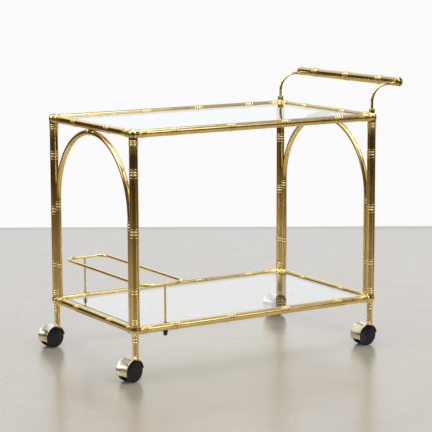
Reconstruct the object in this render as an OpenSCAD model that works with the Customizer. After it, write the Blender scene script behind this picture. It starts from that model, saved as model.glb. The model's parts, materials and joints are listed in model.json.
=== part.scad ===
// Two-shelf serving trolley in brass faux-bamboo tube, with glass shelves, an arch in each end,
// a wire bottle rail on the lower shelf, a push handle and four twin-wheel swivel casters.
// Millimetres, +Z up, +X towards the handle, origin on the floor under the middle of the outline.

/* [Frame] */
// Distance between the post axes along the trolley
frame_length = 708; // [640:2:860]
// Distance between the post axes across the trolley
frame_width = 424; // [380:2:520]
// Height between the axes of the lower and the upper rails
shelf_spacing = 480; // [430:2:580]

/* [Tubes] */
// Outside diameter of the upright posts
post_d = 22.5; // [19:0.5:24]
// Outside diameter of the level rails
rail_d = 20; // [18:0.5:21]
// Outside diameter of the handle bar
bar_d = 23; // [19:0.5:25]
// Outside diameter of the tubes bent into arches
arch_d = 14; // [12:0.5:16]
// Wall thickness of every tube
tube_wall = 1.5; // [1:0.1:2]

/* [Bamboo joints] */
// Joints on each post
post_joints = 3; // [1:1:3]
// Distance between the joints of a post
post_joint_pitch = 145; // [100:1:160]
// Joints on each long rail
rail_joints = 4; // [2:1:4]
// Distance between the joints of a long rail
rail_joint_pitch = 163; // [120:1:170]
// Joints on each end rail
end_joints = 2; // [1:1:2]
// Distance between the joints of an end rail
end_joint_pitch = 177; // [140:1:190]
// Joints on the handle bar
bar_joints = 3; // [1:1:3]
// Distance between the joints of the handle bar
bar_joint_pitch = 146; // [120:1:160]
// Height of the lower joint of an arch leg above the lower rails
arch_low_joint = 94; // [60:1:120]
// Distance of its upper joint below the bend
arch_high_joint_drop = 16; // [12:1:24]
// Angle between the crown of an arch and each of its two crown beads
arch_crown_bead_angle = 4; // [3:0.5:12]
// Distance between the two beads of a joint
joint_bead_gap = 7; // [6:0.1:8]
// Radius of the rounded top of a bead
joint_bead_r = 2.4; // [1.6:0.1:3]
// How far a bead stands out from its tube
joint_bead_out = 0.7; // [0.4:0.1:1]
// Distance of the fine ring on each side from the middle of a joint
joint_line_offset = 10.5; // [8:0.5:12]
// How far the fine ring stands out
joint_line_out = 0.3; // [0.2:0.1:0.5]

/* [Corner fittings] */
// Radius of the ball where the tubes meet
ball_r = 13; // [12.5:0.5:15]
// How far a neck stands out from the tube that it joins
neck_out = 0.3; // [0:0.1:0.6]
// Reach of a post's neck from the middle of the ball
post_neck_reach = 28; // [26:0.5:34]
// Reach of a rail's neck, past the foot of the arch leg
rail_neck_reach = 31.5; // [30:0.5:38]
// Rings on each neck
neck_rings = 3; // [2:1:3]
// Distance between the rings of a neck
ring_pitch = 4.8; // [3.6:0.1:5.2]
// Radius of the rounded top of a ring
ring_r = 1.3; // [1:0.1:1.5]
// How far a ring stands out from its neck
ring_out = 0.6; // [0.3:0.1:0.8]
// Distance from the last ring to the end of a neck
ring_margin = 2.5; // [2:0.1:3.5]
// Length of the spigots that go into the tubes
spigot_l = 12; // [8:1:20]

/* [Glass shelves] */
// Thickness of the glass
glass_t = 5; // [4:0.5:6]
// Height of the top of the glass above the rail axes
glass_rise = 5; // [4:0.5:6]
// Distance of the glass edge from the rail axes
glass_inset = 13; // [12.5:0.5:16]
// Radius of the glass corners
glass_corner_r = 6; // [3:0.5:10]
// Distance between the two rests on a long rail
rest_spacing_x = 400; // [300:5:420]
// Distance between the two rests on an end rail
rest_spacing_y = 130; // [60:5:135]
// Diameter of a rest's pin
rest_pin_d = 5; // [4:0.5:6]
// Radius of the flat seat on a rest
rest_seat_r = 4.5; // [4:0.5:6]
// Thickness of the clear pad on a rest
pad_t = 1.5; // [1:0.1:2]

/* [Bottle rail] */
// Distance of its posts from the left pair of trolley posts
bottle_rail_x = 84; // [80:1:110]
// Width of the ring between its long sides
bottle_ring_w = 116; // [90:1:130]
// Height of the ring above the lower rail axes
bottle_ring_z = 106.5; // [80:0.5:130]
// Radius of the ring's corners
bottle_ring_corner_r = 28; // [20:1:40]
// Diameter of the ring's wire
bottle_wire_d = 8; // [6:0.1:9]
// Diameter of its two posts
bottle_post_d = 5.2; // [4.5:0.1:5.8]
// Length of the nut below the rail
bottle_nut_h = 12; // [10:0.5:14]
// Radius of the nut at the rail
bottle_nut_r = 6.4; // [5.5:0.1:7]

/* [Handle] */
// Reach of the handle bar beyond the right pair of posts
handle_reach = 77; // [64:1:90]
// Height of the handle bar above the upper rails
handle_rise = 88; // [82:1:110]
// Length of the bar beyond each rod
bar_overhang = 13; // [8:1:20]
// Diameter of the two bent rods
rod_d = 7; // [6:0.5:8]
// Distance of the level ends of the rods below the axis of the bar
rod_drop = 4.5; // [0:0.5:5]
// Radius of the bend along the rod's axis
rod_bend_r = 46; // [36:1:48]
// Outside diameter of the socket that holds a rod
socket_d = 16; // [13:0.2:17]
// Height of the socket's rim above the upper rails
socket_top = 21.5; // [19:0.5:26]
// Height of the domed end of the bar
bar_dome_h = 4; // [3:0.5:6]

/* [Legs and casters] */
// Distance from the lower rail axes down to the end of a leg
leg_drop = 66.5; // [60:0.5:80]
// Outside diameter of a leg
leg_d = 15.2; // [15:0.2:16]
// Diameter of a wheel
wheel_d = 54; // [52:1:60]
// Distance between the outer faces of a caster's two wheels
caster_w = 40; // [36:0.5:42]
// Distance between the swivel axis and the wheel axle
trail = 20; // [19:0.5:22]
// Rest turn of the front left caster about its swivel axis
turn_fl = 16; // [0:1:20]
// Rest turn of the front right caster
turn_fr = 5; // [0:1:20]
// Rest turn of the back left caster
turn_bl = 11; // [0:1:20]
// Rest turn of the back right caster
turn_br = 11; // [0:1:20]
// Diameter of the swivel stem
stem_d = 8; // [7:0.5:9]
// Diameter of the axle
axle_d = 6; // [5:0.5:7]
// Radial clearance between a turning piece and its pin
running_gap = 0.05; // [0.02:0.01:0.08]
// Wall of the caster hood
hood_wall = 1.4; // [1.2:0.1:1.8]

/* [Hidden] */
$fn = 64;

BRASS = [0.80, 0.62, 0.30];
PALE_BRASS = [0.82, 0.74, 0.58];
STEEL = [0.62, 0.63, 0.65];
GLASS = [0.80, 0.92, 0.88, 0.45];
CLEAR_PAD = [0.90, 0.92, 0.92];
BLACK = [0.06, 0.06, 0.07];

// Signs of x and y at the four corners: front left, front right, back left, back right
FL = [-1, -1];
FR = [1, -1];
BL = [-1, 1];
BR = [1, 1];
CORNERS = [FL, FR, BL, BR];

// Casters: heights are above the floor, radii are about the axle
wheel_r = wheel_d / 2;
hood_wheel_gap = 2.3;
hood_inner_r = wheel_r + hood_wheel_gap;
hood_r = hood_inner_r + hood_wall;
wheel_dome_h = 2.5;
wheel_rim_r = wheel_r - 2;
wheel_edge_r = 1.5;
hood_w = caster_w - 3;
web_wheel_gap = 0.3;
web_w = 2 * stem_d + 0.4;
wheel_inner_y = web_w / 2 + web_wheel_gap;
wheel_outer_y = caster_w / 2 - wheel_dome_h;
hood_back_drop_angle = 17;
hood_front_rise_angle = 6;
axle_boss_r = axle_d / 2 + 5.5;
stem_boss_r = web_w / 2 - 0.3;
leg_r = leg_d / 2;
swivel_gap = 0.5;
stem_seat_z = wheel_r + axle_d / 2 + 2;
// The leg clears the hood where the hood is highest under the leg
leg_clear_x = trail - leg_r;
stem_boss_top = wheel_r + sqrt(pow(hood_r, 2) - pow(leg_clear_x, 2));
leg_bottom = stem_boss_top + swivel_gap;

// Frame
lower_z = leg_bottom + leg_drop;
upper_z = lower_z + shelf_spacing;
half_l = frame_length / 2;
half_w = frame_width / 2;
post_r = post_d / 2;
rail_r = rail_d / 2;
arch_r = arch_d / 2;
post_neck_r = post_r + neck_out;
rail_neck_r = rail_r + neck_out;
post_ring_r = post_neck_r + ring_out;
rail_ring_r = rail_neck_r + ring_out;
// An arch leg stands just clear of the post, also where the beads of both lie side by side
arch_gap = 0.1;
arch_offset = arch_r + max(post_ring_r, post_r + 2 * joint_bead_out) + arch_gap;
arch_bend_r = half_w - arch_offset;
arch_crown_z = upper_z - rail_r - arch_r;
arch_spring_z = arch_crown_z - arch_bend_r;
arch_pin_r = 2;

// Handle
bar_r = bar_d / 2;
bar_z = upper_z + handle_rise;
bar_half_l = half_w + bar_overhang;
rod_seat_z = 6;

// Outline of the whole trolley about the frame's middle, which fixes where that middle lies
function turn_of(c) = c == FL ? turn_fl : c == FR ? turn_fr : c == BL ? turn_bl : turn_br;
function hood_reach_x(t) = hood_r * cos(t) + hood_w / 2 * sin(t);
function hood_reach_y(t) = hood_r * sin(t) + hood_w / 2 * cos(t);
bar_x_reach = half_l + handle_reach + bar_r + joint_bead_out;
bar_y_reach = bar_half_l + bar_dome_h;
outline_right = max([bar_x_reach,
    for (c = [FR, BR]) half_l - trail * cos(turn_of(c)) + hood_reach_x(turn_of(c))]);
outline_left = max([for (c = [FL, BL]) half_l + trail * cos(turn_of(c)) + hood_reach_x(turn_of(c))]);
outline_front = max([bar_y_reach,
    for (c = [FL, FR]) half_w + trail * sin(turn_of(c)) + hood_reach_y(turn_of(c))]);
outline_back = max([bar_y_reach,
    for (c = [BL, BR]) half_w - trail * sin(turn_of(c)) + hood_reach_y(turn_of(c))]);
frame_x = (outline_left - outline_right) / 2;
frame_y = (outline_front - outline_back) / 2;

// Positions of n evenly spaced things about the middle
function spaced(n, pitch) = [for (i = [0 : n - 1]) (i - (n - 1) / 2) * pitch];

// Puts its children where the frame's middle is at the origin of x and y
module in_frame() {
    translate([frame_x, frame_y, 0]) children();
}

// Puts its children at a post axis
module at_post(c, z = 0) {
    in_frame() translate([c.x * half_l, c.y * half_w, z]) children();
}

// Turns a piece that stands along Z so that it runs along X or Y, in the direction of the sign
module along_x(s = 1) {
    rotate([0, 90 * s, 0]) children();
}
module along_y(s = 1) {
    rotate([-90 * s, 0, 0]) children();
}

// Outline of one bamboo joint at height h on a tube of radius r: two beads between two fine rings
module joint_outline(r, h) {
    line_r = 1;
    for (s = [-1, 1]) {
        translate([r + joint_bead_out - joint_bead_r, h + s * joint_bead_gap / 2]) circle(r = joint_bead_r);
        translate([r + joint_line_out - line_r, h + s * joint_line_offset]) circle(r = line_r);
    }
}

// Hollow bamboo tube that stands on Z from -length/2 to length/2
module bamboo_tube(length, r, joints) {
    rotate_extrude() difference() {
        union() {
            translate([0, -length / 2]) square([r, length]);
            for (h = joints) joint_outline(r, h);
        }
        translate([0, -length / 2 - 1]) square([r - tube_wall, length + 2]);
    }
}

// Neck of a corner fitting, from the middle of the ball outwards along Z, with the spigot on its end
module neck(r, reach) {
    rotate_extrude() {
        square([r + neck_out, reach]);
        for (i = [0 : neck_rings - 1])
            translate([r + neck_out + ring_out - ring_r, reach - ring_margin - i * ring_pitch])
                circle(r = ring_r);
        square([r - tube_wall, reach + spigot_l]);
    }
}

// Corner fitting: a ball with necks for two rails and a post
module corner_fitting(c, post_up) {
    sphere(r = ball_r);
    along_x(-c.x) neck(rail_r, rail_neck_reach);
    along_y(-c.y) neck(rail_r, rail_neck_reach);
    mirror([0, 0, post_up ? 0 : 1]) neck(post_r, post_neck_reach);
}

// Top corner fitting, with a socket for the handle rod on the right pair
module top_corner(c) {
    color(BRASS) at_post(c, upper_z) difference() {
        union() {
            corner_fitting(c, false);
            if (c.x > 0) rod_socket();
        }
        if (c.x > 0) translate([0, 0, rod_seat_z]) cylinder(d = rod_d, h = socket_top);
    }
}

// Socket with a thin rim that stands on the ball
module rod_socket() {
    rim_h = 2;
    cylinder(d = socket_d, h = socket_top);
    translate([0, 0, socket_top - rim_h]) cylinder(d = socket_d + 0.8, h = rim_h);
}

// Bottom corner fitting, with a short boss faced off for the leg's shoulder and bored for its spigot
leg_shoulder = 11.4;
leg_boss_out = 0.5;
leg_spigot_r = 6;
leg_spigot_h = 8;
module bottom_corner(c) {
    color(BRASS) at_post(c, lower_z) difference() {
        union() {
            corner_fitting(c, true);
            translate([0, 0, -leg_shoulder]) cylinder(r = leg_r + leg_boss_out, h = leg_shoulder);
        }
        translate([0, 0, -ball_r - 1]) cylinder(r = ball_r, h = ball_r + 1 - leg_shoulder);
        translate([0, 0, -leg_shoulder - 1]) cylinder(r = leg_spigot_r, h = leg_spigot_h + 1);
    }
}

// Upright post between the necks of its two fittings
module post(c) {
    color(BRASS) at_post(c, (lower_z + upper_z) / 2)
        bamboo_tube(shelf_spacing - 2 * post_neck_reach, post_r, spaced(post_joints, post_joint_pitch));
}

// Long rail of the front (side -1) or the back (side 1)
module long_rail(side, z) {
    color(BRASS) in_frame() translate([0, side * half_w, z]) difference() {
        along_x() bamboo_tube(frame_length - 2 * rail_neck_reach, rail_r, spaced(rail_joints, rail_joint_pitch));
        for (x = spaced(2, rest_spacing_x)) translate([x, 0, rest_pin_z]) along_y(-side) rest_pin();
        children();
    }
}

// End rail on the left (side -1) or the right (side 1)
module end_rail(side, z) {
    color(BRASS) in_frame() translate([side * half_l, 0, z]) difference() {
        along_y() bamboo_tube(frame_width - 2 * rail_neck_reach, rail_r, spaced(end_joints, end_joint_pitch));
        for (y = spaced(2, rest_spacing_y)) translate([0, y, rest_pin_z]) along_x(-side) rest_pin();
        children();
    }
}

// Hole in the end rail for the pin that holds the crown of an arch
module top_end_rail(side) {
    end_rail(side, upper_z) translate([0, 0, arch_crown_z - upper_z]) cylinder(r = arch_pin_r, h = arch_pin_h);
}

// Hole down through a lower rail for a post of the bottle rail
module bottom_long_rail(side) {
    long_rail(side, lower_z)
        translate([bottle_x, 0, -rail_d]) cylinder(d = bottle_post_d, h = 2 * rail_d);
}

// Inverted U of tube between the two posts of one end, coped onto the rings of the lower fittings
arch_pin_h = arch_r + rail_r / 2;
arch_leg_h = arch_spring_z - lower_z;
module arch(side) {
    color(BRASS) in_frame() translate([side * half_l, 0, lower_z]) difference() {
        union() {
            for (s = [-1, 1]) translate([0, s * arch_bend_r, 0]) arch_leg();
            translate([0, 0, arch_leg_h]) {
                arch_bend(arch_r);
                for (s = [-1, 1]) rotate([s * arch_crown_bead_angle, 0, 0])
                    translate([0, 0, arch_bend_r]) along_y() crown_bead();
            }
        }
        translate([0, 0, arch_leg_h]) arch_bend(arch_r - tube_wall);
        for (s = [-1, 1]) translate([0, s * arch_bend_r, 0]) cylinder(r = arch_r - tube_wall, h = arch_leg_h);
        along_y() cylinder(r = rail_ring_r, h = frame_width, center = true);
        translate([0, 0, arch_crown_z - lower_z]) cylinder(r = arch_pin_r, h = arch_pin_h);
    }
}

// Half ring of the given radius of section, over the spring line
module arch_bend(r) {
    rotate([90, 0, 90]) rotate_extrude(angle = 180)
        translate([arch_bend_r, 0]) rotate(180) circle(r = r);
}

// Straight leg of an arch, from the rail axis up to the bend, with its two joints
module arch_leg() {
    rotate_extrude() {
        square([arch_r, arch_leg_h]);
        for (h = [arch_low_joint, arch_leg_h - arch_high_joint_drop]) joint_outline(arch_r, h);
    }
}

// One bead round the crown
module crown_bead() {
    rotate_extrude() translate([arch_r + joint_bead_out - joint_bead_r, 0]) circle(r = joint_bead_r);
}

// Hidden pins that fix the crowns of the arches to the end rails
module arch_pins() {
    color(STEEL) in_frame() for (side = [-1, 1])
        translate([side * half_l, 0, arch_crown_z]) cylinder(r = arch_pin_r, h = arch_pin_h);
}

// Plate with rounded corners
module rounded_plate(lx, ly, r, t) {
    linear_extrude(t) {
        square([lx - 2 * r, ly], center = true);
        square([lx, ly - 2 * r], center = true);
        for (sx = [-1, 1]) for (sy = [-1, 1])
            translate([sx * (lx / 2 - r), sy * (ly / 2 - r)]) circle(r = r);
    }
}

// Glass shelf between the rails
module glass(z) {
    color(GLASS) in_frame() translate([0, 0, z + glass_rise - glass_t])
        rounded_plate(frame_length - 2 * glass_inset, frame_width - 2 * glass_inset, glass_corner_r, glass_t);
}

// Rests: pins that reach in from the rails, each with a flat seat under the glass
rest_seat_t = 1.5;
rest_seat_top = glass_rise - glass_t - pad_t;
rest_pin_z = rest_seat_top - rest_seat_t - rest_pin_d / 2 + 0.5;
rest_seat_reach = glass_inset + rest_seat_r + 1;
module rest_pin() {
    translate([0, 0, rail_r / 2]) cylinder(d = rest_pin_d, h = rest_seat_reach - rail_r / 2);
}

// Places its children at the seats of the eight rests of a shelf
module at_rests(z) {
    in_frame() translate([0, 0, z]) for (s = [-1, 1]) {
        for (x = spaced(2, rest_spacing_x)) translate([x, s * half_w, 0]) rotate([0, 0, -90 * s]) children();
        for (y = spaced(2, rest_spacing_y)) translate([s * half_l, y, 0]) rotate([0, 0, s > 0 ? 180 : 0]) children();
    }
}
module glass_rests(z) {
    color(BRASS) at_rests(z) {
        translate([0, 0, rest_pin_z]) along_x() rest_pin();
        translate([rest_seat_reach, 0, rest_seat_top - rest_seat_t]) cylinder(r = rest_seat_r, h = rest_seat_t);
    }
}
module glass_pads(z) {
    pad_r = rest_seat_r - 0.7;
    color(CLEAR_PAD) at_rests(z)
        translate([rest_seat_reach, 0, rest_seat_top]) cylinder(r = pad_r, h = pad_t);
}

// Bottle rail: a wire ring over the left end of the lower shelf, on two posts through the long rails
bottle_x = bottle_rail_x - half_l;
bottle_wire_r = bottle_wire_d / 2;
module bottle_ring() {
    side_x = bottle_ring_w / 2;
    corner_r = bottle_ring_corner_r;
    color(BRASS) in_frame() translate([bottle_x, 0, lower_z + bottle_ring_z]) {
        for (s = [-1, 1]) {
            translate([s * side_x, 0, 0]) along_y()
                cylinder(r = bottle_wire_r, h = frame_width - 2 * corner_r, center = true);
            translate([0, s * half_w, 0]) along_x()
                cylinder(r = bottle_wire_r, h = bottle_ring_w - 2 * corner_r, center = true);
        }
        for (i = [0 : 3]) {
            sx = i == 0 || i == 3 ? 1 : -1;
            sy = i < 2 ? 1 : -1;
            translate([sx * (side_x - corner_r), sy * (half_w - corner_r), 0]) rotate([0, 0, 90 * i])
                rotate_extrude(angle = 90) translate([corner_r, 0]) circle(r = bottle_wire_r);
        }
    }
}

// Places its children where the two posts of the bottle rail cross the lower rails
module at_bottle_posts() {
    in_frame() for (s = [-1, 1]) translate([bottle_x, s * half_w, lower_z]) children();
}

// Posts that end in the hollow under the wire, and below in their nuts
module bottle_ring_posts() {
    color(BRASS) at_bottle_posts() difference() {
        translate([0, 0, -rail_r - bottle_nut_h / 2])
            cylinder(d = bottle_post_d, h = bottle_ring_z + rail_r + bottle_nut_h / 2);
        translate([0, 0, bottle_ring_z]) along_x() cylinder(r = bottle_wire_r, h = 2 * bottle_wire_d, center = true);
    }
}

// Small flared ferrules where the posts leave the top of the rails
module bottle_ring_ferrules() {
    ferrule_h = 3;
    ferrule_r = bottle_post_d / 2 + 1.8;
    color(BRASS) at_bottle_posts() difference() {
        cylinder(r1 = ferrule_r + 0.8, r2 = ferrule_r, h = rail_r + ferrule_h);
        along_x() cylinder(r = rail_r, h = 4 * ferrule_r, center = true);
        cylinder(d = bottle_post_d, h = rail_d);
    }
}

// Black tapered nuts that draw the posts down from below
module bottle_ring_nuts() {
    foot_round = 1.5;
    foot_r = bottle_nut_r - 1.6;
    color(BLACK) at_bottle_posts() difference() {
        translate([0, 0, -rail_r - bottle_nut_h]) rotate_extrude() {
            polygon([[0, 0], [foot_r - foot_round, 0], [foot_r, foot_round], [bottle_nut_r, bottle_nut_h],
                [bottle_nut_r, bottle_nut_h + rail_r], [0, bottle_nut_h + rail_r]]);
            translate([foot_r - foot_round, foot_round]) circle(r = foot_round);
        }
        along_x() cylinder(r = rail_r, h = 4 * bottle_nut_r, center = true);
        translate([0, 0, -rail_r - bottle_nut_h / 2]) cylinder(d = bottle_post_d, h = bottle_nut_h + rail_r);
    }
}

// Handle bar, open at both ends, with a hole on its inner side for each rod
module handle_bar() {
    color(BRASS) in_frame() translate([half_l + handle_reach, 0, bar_z]) difference() {
        along_y() bamboo_tube(2 * bar_half_l, bar_r, spaced(bar_joints, bar_joint_pitch));
        for (s = [-1, 1]) translate([0, s * half_w, -rod_drop]) along_x(-1) cylinder(d = rod_d, h = bar_d);
    }
}

// Rod that rises from its socket and bends level into the bar, on the side given
module handle_rod(side) {
    rod_top = handle_rise - rod_drop;
    rise = rod_top - rod_bend_r;
    color(BRASS) in_frame() translate([half_l, side * half_w, upper_z]) {
        translate([0, 0, rod_seat_z]) cylinder(d = rod_d, h = rise - rod_seat_z);
        translate([rod_bend_r, 0, rise]) rotate([90, -90, 0]) rotate_extrude(angle = 90)
            translate([rod_bend_r, 0]) circle(d = rod_d);
        translate([rod_bend_r, 0, rod_top]) along_x() cylinder(d = rod_d, h = handle_reach - rod_bend_r);
    }
}

// Domed caps with a plug that fits inside the bar
module handle_caps() {
    plug_h = bar_overhang - rod_d / 2 - 0.5;
    cap_r = bar_r + 0.3;
    dome_r = (pow(cap_r, 2) + pow(bar_dome_h, 2)) / (2 * bar_dome_h);
    color(BRASS) in_frame() for (s = [-1, 1])
        translate([half_l + handle_reach, s * bar_half_l, bar_z]) along_y(s) {
            translate([0, 0, -plug_h]) cylinder(r = bar_r - tube_wall, h = plug_h);
            rotate_extrude() intersection() {
                square([cap_r, bar_dome_h]);
                translate([0, bar_dome_h - dome_r]) circle(r = dome_r, $fn = 128);
            }
        }
}

// Leg: a plain tube with three beads under the fitting and one round its foot
module leg(c) {
    bead_r = 2.6;
    bead_out = 0.9;
    bead_pitch = 7.6;
    foot_bead_r = 4;
    color(BRASS) at_post(c, lower_z) difference() {
        rotate_extrude() {
            translate([0, -leg_drop]) square([leg_r, leg_drop - leg_shoulder]);
            translate([leg_r - foot_bead_r + bead_out, -leg_drop + foot_bead_r]) circle(r = foot_bead_r);
            for (i = [0 : 2])
                translate([leg_r - bead_r + bead_out, -leg_shoulder - bead_r - i * bead_pitch]) circle(r = bead_r);
            translate([0, -leg_shoulder]) square([leg_spigot_r, leg_spigot_h]);
        }
        translate([0, 0, -leg_drop - 1]) cylinder(r = bush_r, h = bush_h + 1);
    }
}

// Bushes inside the legs, in which the caster stems turn
bush_r = stem_d / 2 + 1.8;
bush_h = 36;
stem_h = bush_h - 2;
module stem_bushes() {
    color(BLACK) for (c = CORNERS) at_post(c, leg_bottom) difference() {
        cylinder(r = bush_r, h = bush_h);
        translate([0, 0, -1]) cylinder(r = stem_d / 2 + running_gap, h = stem_h + 2);
    }
}

// Puts its children in a caster's own frame: swivel axis at the origin, axle at x = -trail
module at_caster(c) {
    at_post(c) rotate([0, 0, turn_of(c)]) children();
}

// Side view of what the hood covers: a sector of the given radius about the axle
module hood_sector(r) {
    reach = 2 * hood_r;
    back = 180 + hood_back_drop_angle;
    intersection() {
        circle(r = r, $fn = 128);
        polygon([[0, 0], reach * [cos(hood_front_rise_angle), sin(hood_front_rise_angle)],
            reach * [1, 1], reach * [-1, 1], reach * [cos(back), sin(back)]]);
    }
}

// Stands a side view up about the axle, centred across the caster
module caster_side_view(width) {
    translate([-trail, 0, wheel_r]) rotate([90, 0, 0]) linear_extrude(width, center = true) children();
}

// Hood: a cover over both wheels with a web between them that holds the axle and the stem
module caster_hood(c) {
    color(PALE_BRASS) at_caster(c) difference() {
        union() {
            caster_side_view(hood_w) difference() {
                hood_sector(hood_r);
                circle(r = hood_inner_r, $fn = 128);
            }
            caster_side_view(web_w) {
                hood_sector(hood_r - hood_wall / 2);
                circle(r = axle_boss_r);
            }
            translate([0, 0, wheel_r + stem_boss_r]) cylinder(r = stem_boss_r, h = stem_boss_top - wheel_r - stem_boss_r);
        }
        translate([0, 0, stem_seat_z]) cylinder(d = stem_d, h = hood_r);
        translate([-trail, 0, wheel_r]) along_y() cylinder(d = axle_d, h = caster_w, center = true);
    }
}

// Steel stem and axle of a caster
module caster_pins(c) {
    axle_l = 2 * (wheel_outer_y - 2);
    color(STEEL) at_caster(c) {
        translate([0, 0, stem_seat_z]) cylinder(d = stem_d, h = leg_bottom + stem_h - stem_seat_z);
        translate([-trail, 0, wheel_r]) along_y() cylinder(d = axle_d, h = axle_l, center = true);
    }
}

// Half outline of a wheel: radius along X, distance from the middle of the caster along Y
module wheel_outline() {
    dome_r = (pow(wheel_rim_r, 2) + pow(wheel_dome_h, 2)) / (2 * wheel_dome_h);
    rim_w = wheel_outer_y - wheel_inner_y;
    rim_depth = 7;
    face_t = 3.5;
    hub_r = axle_d / 2 + 4;
    difference() {
        union() {
            translate([wheel_r - rim_depth, wheel_inner_y]) square([rim_depth - wheel_edge_r, rim_w]);
            translate([wheel_r - rim_depth, wheel_inner_y + wheel_edge_r])
                square([rim_depth, rim_w - 2 * wheel_edge_r]);
            for (y = [wheel_inner_y + wheel_edge_r, wheel_outer_y - wheel_edge_r])
                translate([wheel_r - wheel_edge_r, y]) circle(r = wheel_edge_r);
            translate([0, wheel_outer_y - face_t]) square([wheel_rim_r, face_t]);
            translate([0, wheel_inner_y]) square([hub_r, rim_w]);
            intersection() {
                translate([0, wheel_outer_y]) square([wheel_rim_r, wheel_dome_h]);
                translate([0, wheel_outer_y + wheel_dome_h - dome_r]) circle(r = dome_r, $fn = 256);
            }
        }
        square([axle_d / 2 + running_gap, wheel_outer_y - 1.5]);
    }
}

// Wheel on the far side (side 1) or the near side (side -1) of its caster
module wheel(c, side) {
    color(BLACK) at_caster(c) translate([-trail, 0, wheel_r]) along_y(side) rotate_extrude() wheel_outline();
}

post(FL);  // post_fl
post(FR);  // post_fr
post(BL);  // post_bl
post(BR);  // post_br
top_corner(FL);  // top_corner_fl
top_corner(FR);  // top_corner_fr
top_corner(BL);  // top_corner_bl
top_corner(BR);  // top_corner_br
bottom_corner(FL);  // bottom_corner_fl
bottom_corner(FR);  // bottom_corner_fr
bottom_corner(BL);  // bottom_corner_bl
bottom_corner(BR);  // bottom_corner_br
long_rail(-1, upper_z);  // top_rail_front
long_rail(1, upper_z);  // top_rail_back
top_end_rail(-1);  // top_rail_left
top_end_rail(1);  // top_rail_right
bottom_long_rail(-1);  // bottom_rail_front
bottom_long_rail(1);  // bottom_rail_back
end_rail(-1, lower_z);  // bottom_rail_left
end_rail(1, lower_z);  // bottom_rail_right
arch(-1);  // left_arch
arch(1);  // right_arch
arch_pins();
glass(upper_z);  // top_glass
glass(lower_z);  // shelf_glass
glass_rests(upper_z);  // top_glass_rests
glass_rests(lower_z);  // shelf_glass_rests
glass_pads(upper_z);  // top_glass_pads
glass_pads(lower_z);  // shelf_glass_pads
bottle_ring();
bottle_ring_posts();
bottle_ring_ferrules();
bottle_ring_nuts();
handle_bar();
handle_rod(-1);  // handle_rod_front
handle_rod(1);  // handle_rod_back
handle_caps();
leg(FL);  // leg_fl
leg(FR);  // leg_fr
leg(BL);  // leg_bl
leg(BR);  // leg_br
stem_bushes();
caster_hood(FL);  // caster_hood_fl
caster_hood(FR);  // caster_hood_fr
caster_hood(BL);  // caster_hood_bl
caster_hood(BR);  // caster_hood_br
caster_pins(FL);  // caster_pins_fl
caster_pins(FR);  // caster_pins_fr
caster_pins(BL);  // caster_pins_bl
caster_pins(BR);  // caster_pins_br
wheel(FL, -1);  // wheel_outer_fl
wheel(FL, 1);  // wheel_inner_fl
wheel(FR, -1);  // wheel_outer_fr
wheel(FR, 1);  // wheel_inner_fr
wheel(BL, -1);  // wheel_outer_bl
wheel(BL, 1);  // wheel_inner_bl
wheel(BR, -1);  // wheel_outer_br
wheel(BR, 1);  // wheel_inner_br
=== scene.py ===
# %% [markdown]
# # A brass serving trolley with two glass shelves
#
# The trolley is a frame of thin brass tubes with bamboo-style joints, held together by ball-shaped corner
# fittings. It carries two sheets of glass, a wire rail for bottles, a push handle and four twin-wheel
# casters. The construction model fixes where each piece is and how big it is. This lesson builds the
# surfaces that are seen: smooth turned and bent tubes, so that polished metal shows clean reflections, and
# their finishes.

# %% Load the fixed frame
import json
import math

import bpy
import numpy as np
from mathutils import Euler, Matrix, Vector


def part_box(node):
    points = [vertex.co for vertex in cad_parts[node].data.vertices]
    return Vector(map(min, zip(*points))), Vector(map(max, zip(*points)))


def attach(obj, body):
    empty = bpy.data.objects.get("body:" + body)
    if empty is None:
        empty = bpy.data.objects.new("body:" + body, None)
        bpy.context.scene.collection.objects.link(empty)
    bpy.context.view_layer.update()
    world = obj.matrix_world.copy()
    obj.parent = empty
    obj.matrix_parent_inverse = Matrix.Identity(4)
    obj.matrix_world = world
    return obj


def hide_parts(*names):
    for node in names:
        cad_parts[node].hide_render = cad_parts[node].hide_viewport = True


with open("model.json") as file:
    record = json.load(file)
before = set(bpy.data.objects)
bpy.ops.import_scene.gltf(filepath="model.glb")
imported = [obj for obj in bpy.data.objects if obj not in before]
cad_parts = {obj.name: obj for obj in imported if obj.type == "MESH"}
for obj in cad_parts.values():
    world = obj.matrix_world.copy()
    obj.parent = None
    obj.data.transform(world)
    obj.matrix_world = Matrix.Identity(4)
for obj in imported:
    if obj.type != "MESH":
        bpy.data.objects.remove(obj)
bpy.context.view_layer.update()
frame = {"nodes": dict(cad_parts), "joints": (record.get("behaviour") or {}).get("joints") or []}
MM = 0.001


def into_scene(name, data):
    """A new object of the scene that carries a mesh, a lamp or a camera."""
    thing = bpy.data.objects.new(name, data)
    bpy.context.scene.collection.objects.link(thing)
    return thing

# %% [markdown]
# ## Where things are
#
# Every position is read from the boxes of the construction pieces, so the surfaces below need no fitting. A
# post's box gives its axis, and the rails' boxes give the two shelf levels.

# %% Read the layout
CORNERS = {"fl": (-1, -1), "fr": (1, -1), "bl": (-1, 1), "br": (1, 1)}
X, Y, Z = np.eye(3)


def box_of(node):
    """Lowest corner, highest corner and their mean, the middle, of a construction piece in metres."""
    low, high = (np.array(v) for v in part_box(node))
    return low, high, (low + high) / 2


post_axis = {corner: box_of("post_" + corner)[2][:2] for corner in CORNERS}
upper_z = box_of("top_rail_front")[2][2]
lower_z = box_of("bottom_rail_front")[2][2]
middle = np.array([post_axis["fl"][0] + post_axis["fr"][0], post_axis["fl"][1] + post_axis["bl"][1]]) / 2
half_l = post_axis["fr"][0] - middle[0]
half_w = post_axis["bl"][1] - middle[1]
print("frame middle", middle.round(4), "half spans", half_l.round(4), half_w.round(4))
print("rail levels", lower_z.round(4), upper_z.round(4))

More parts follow.
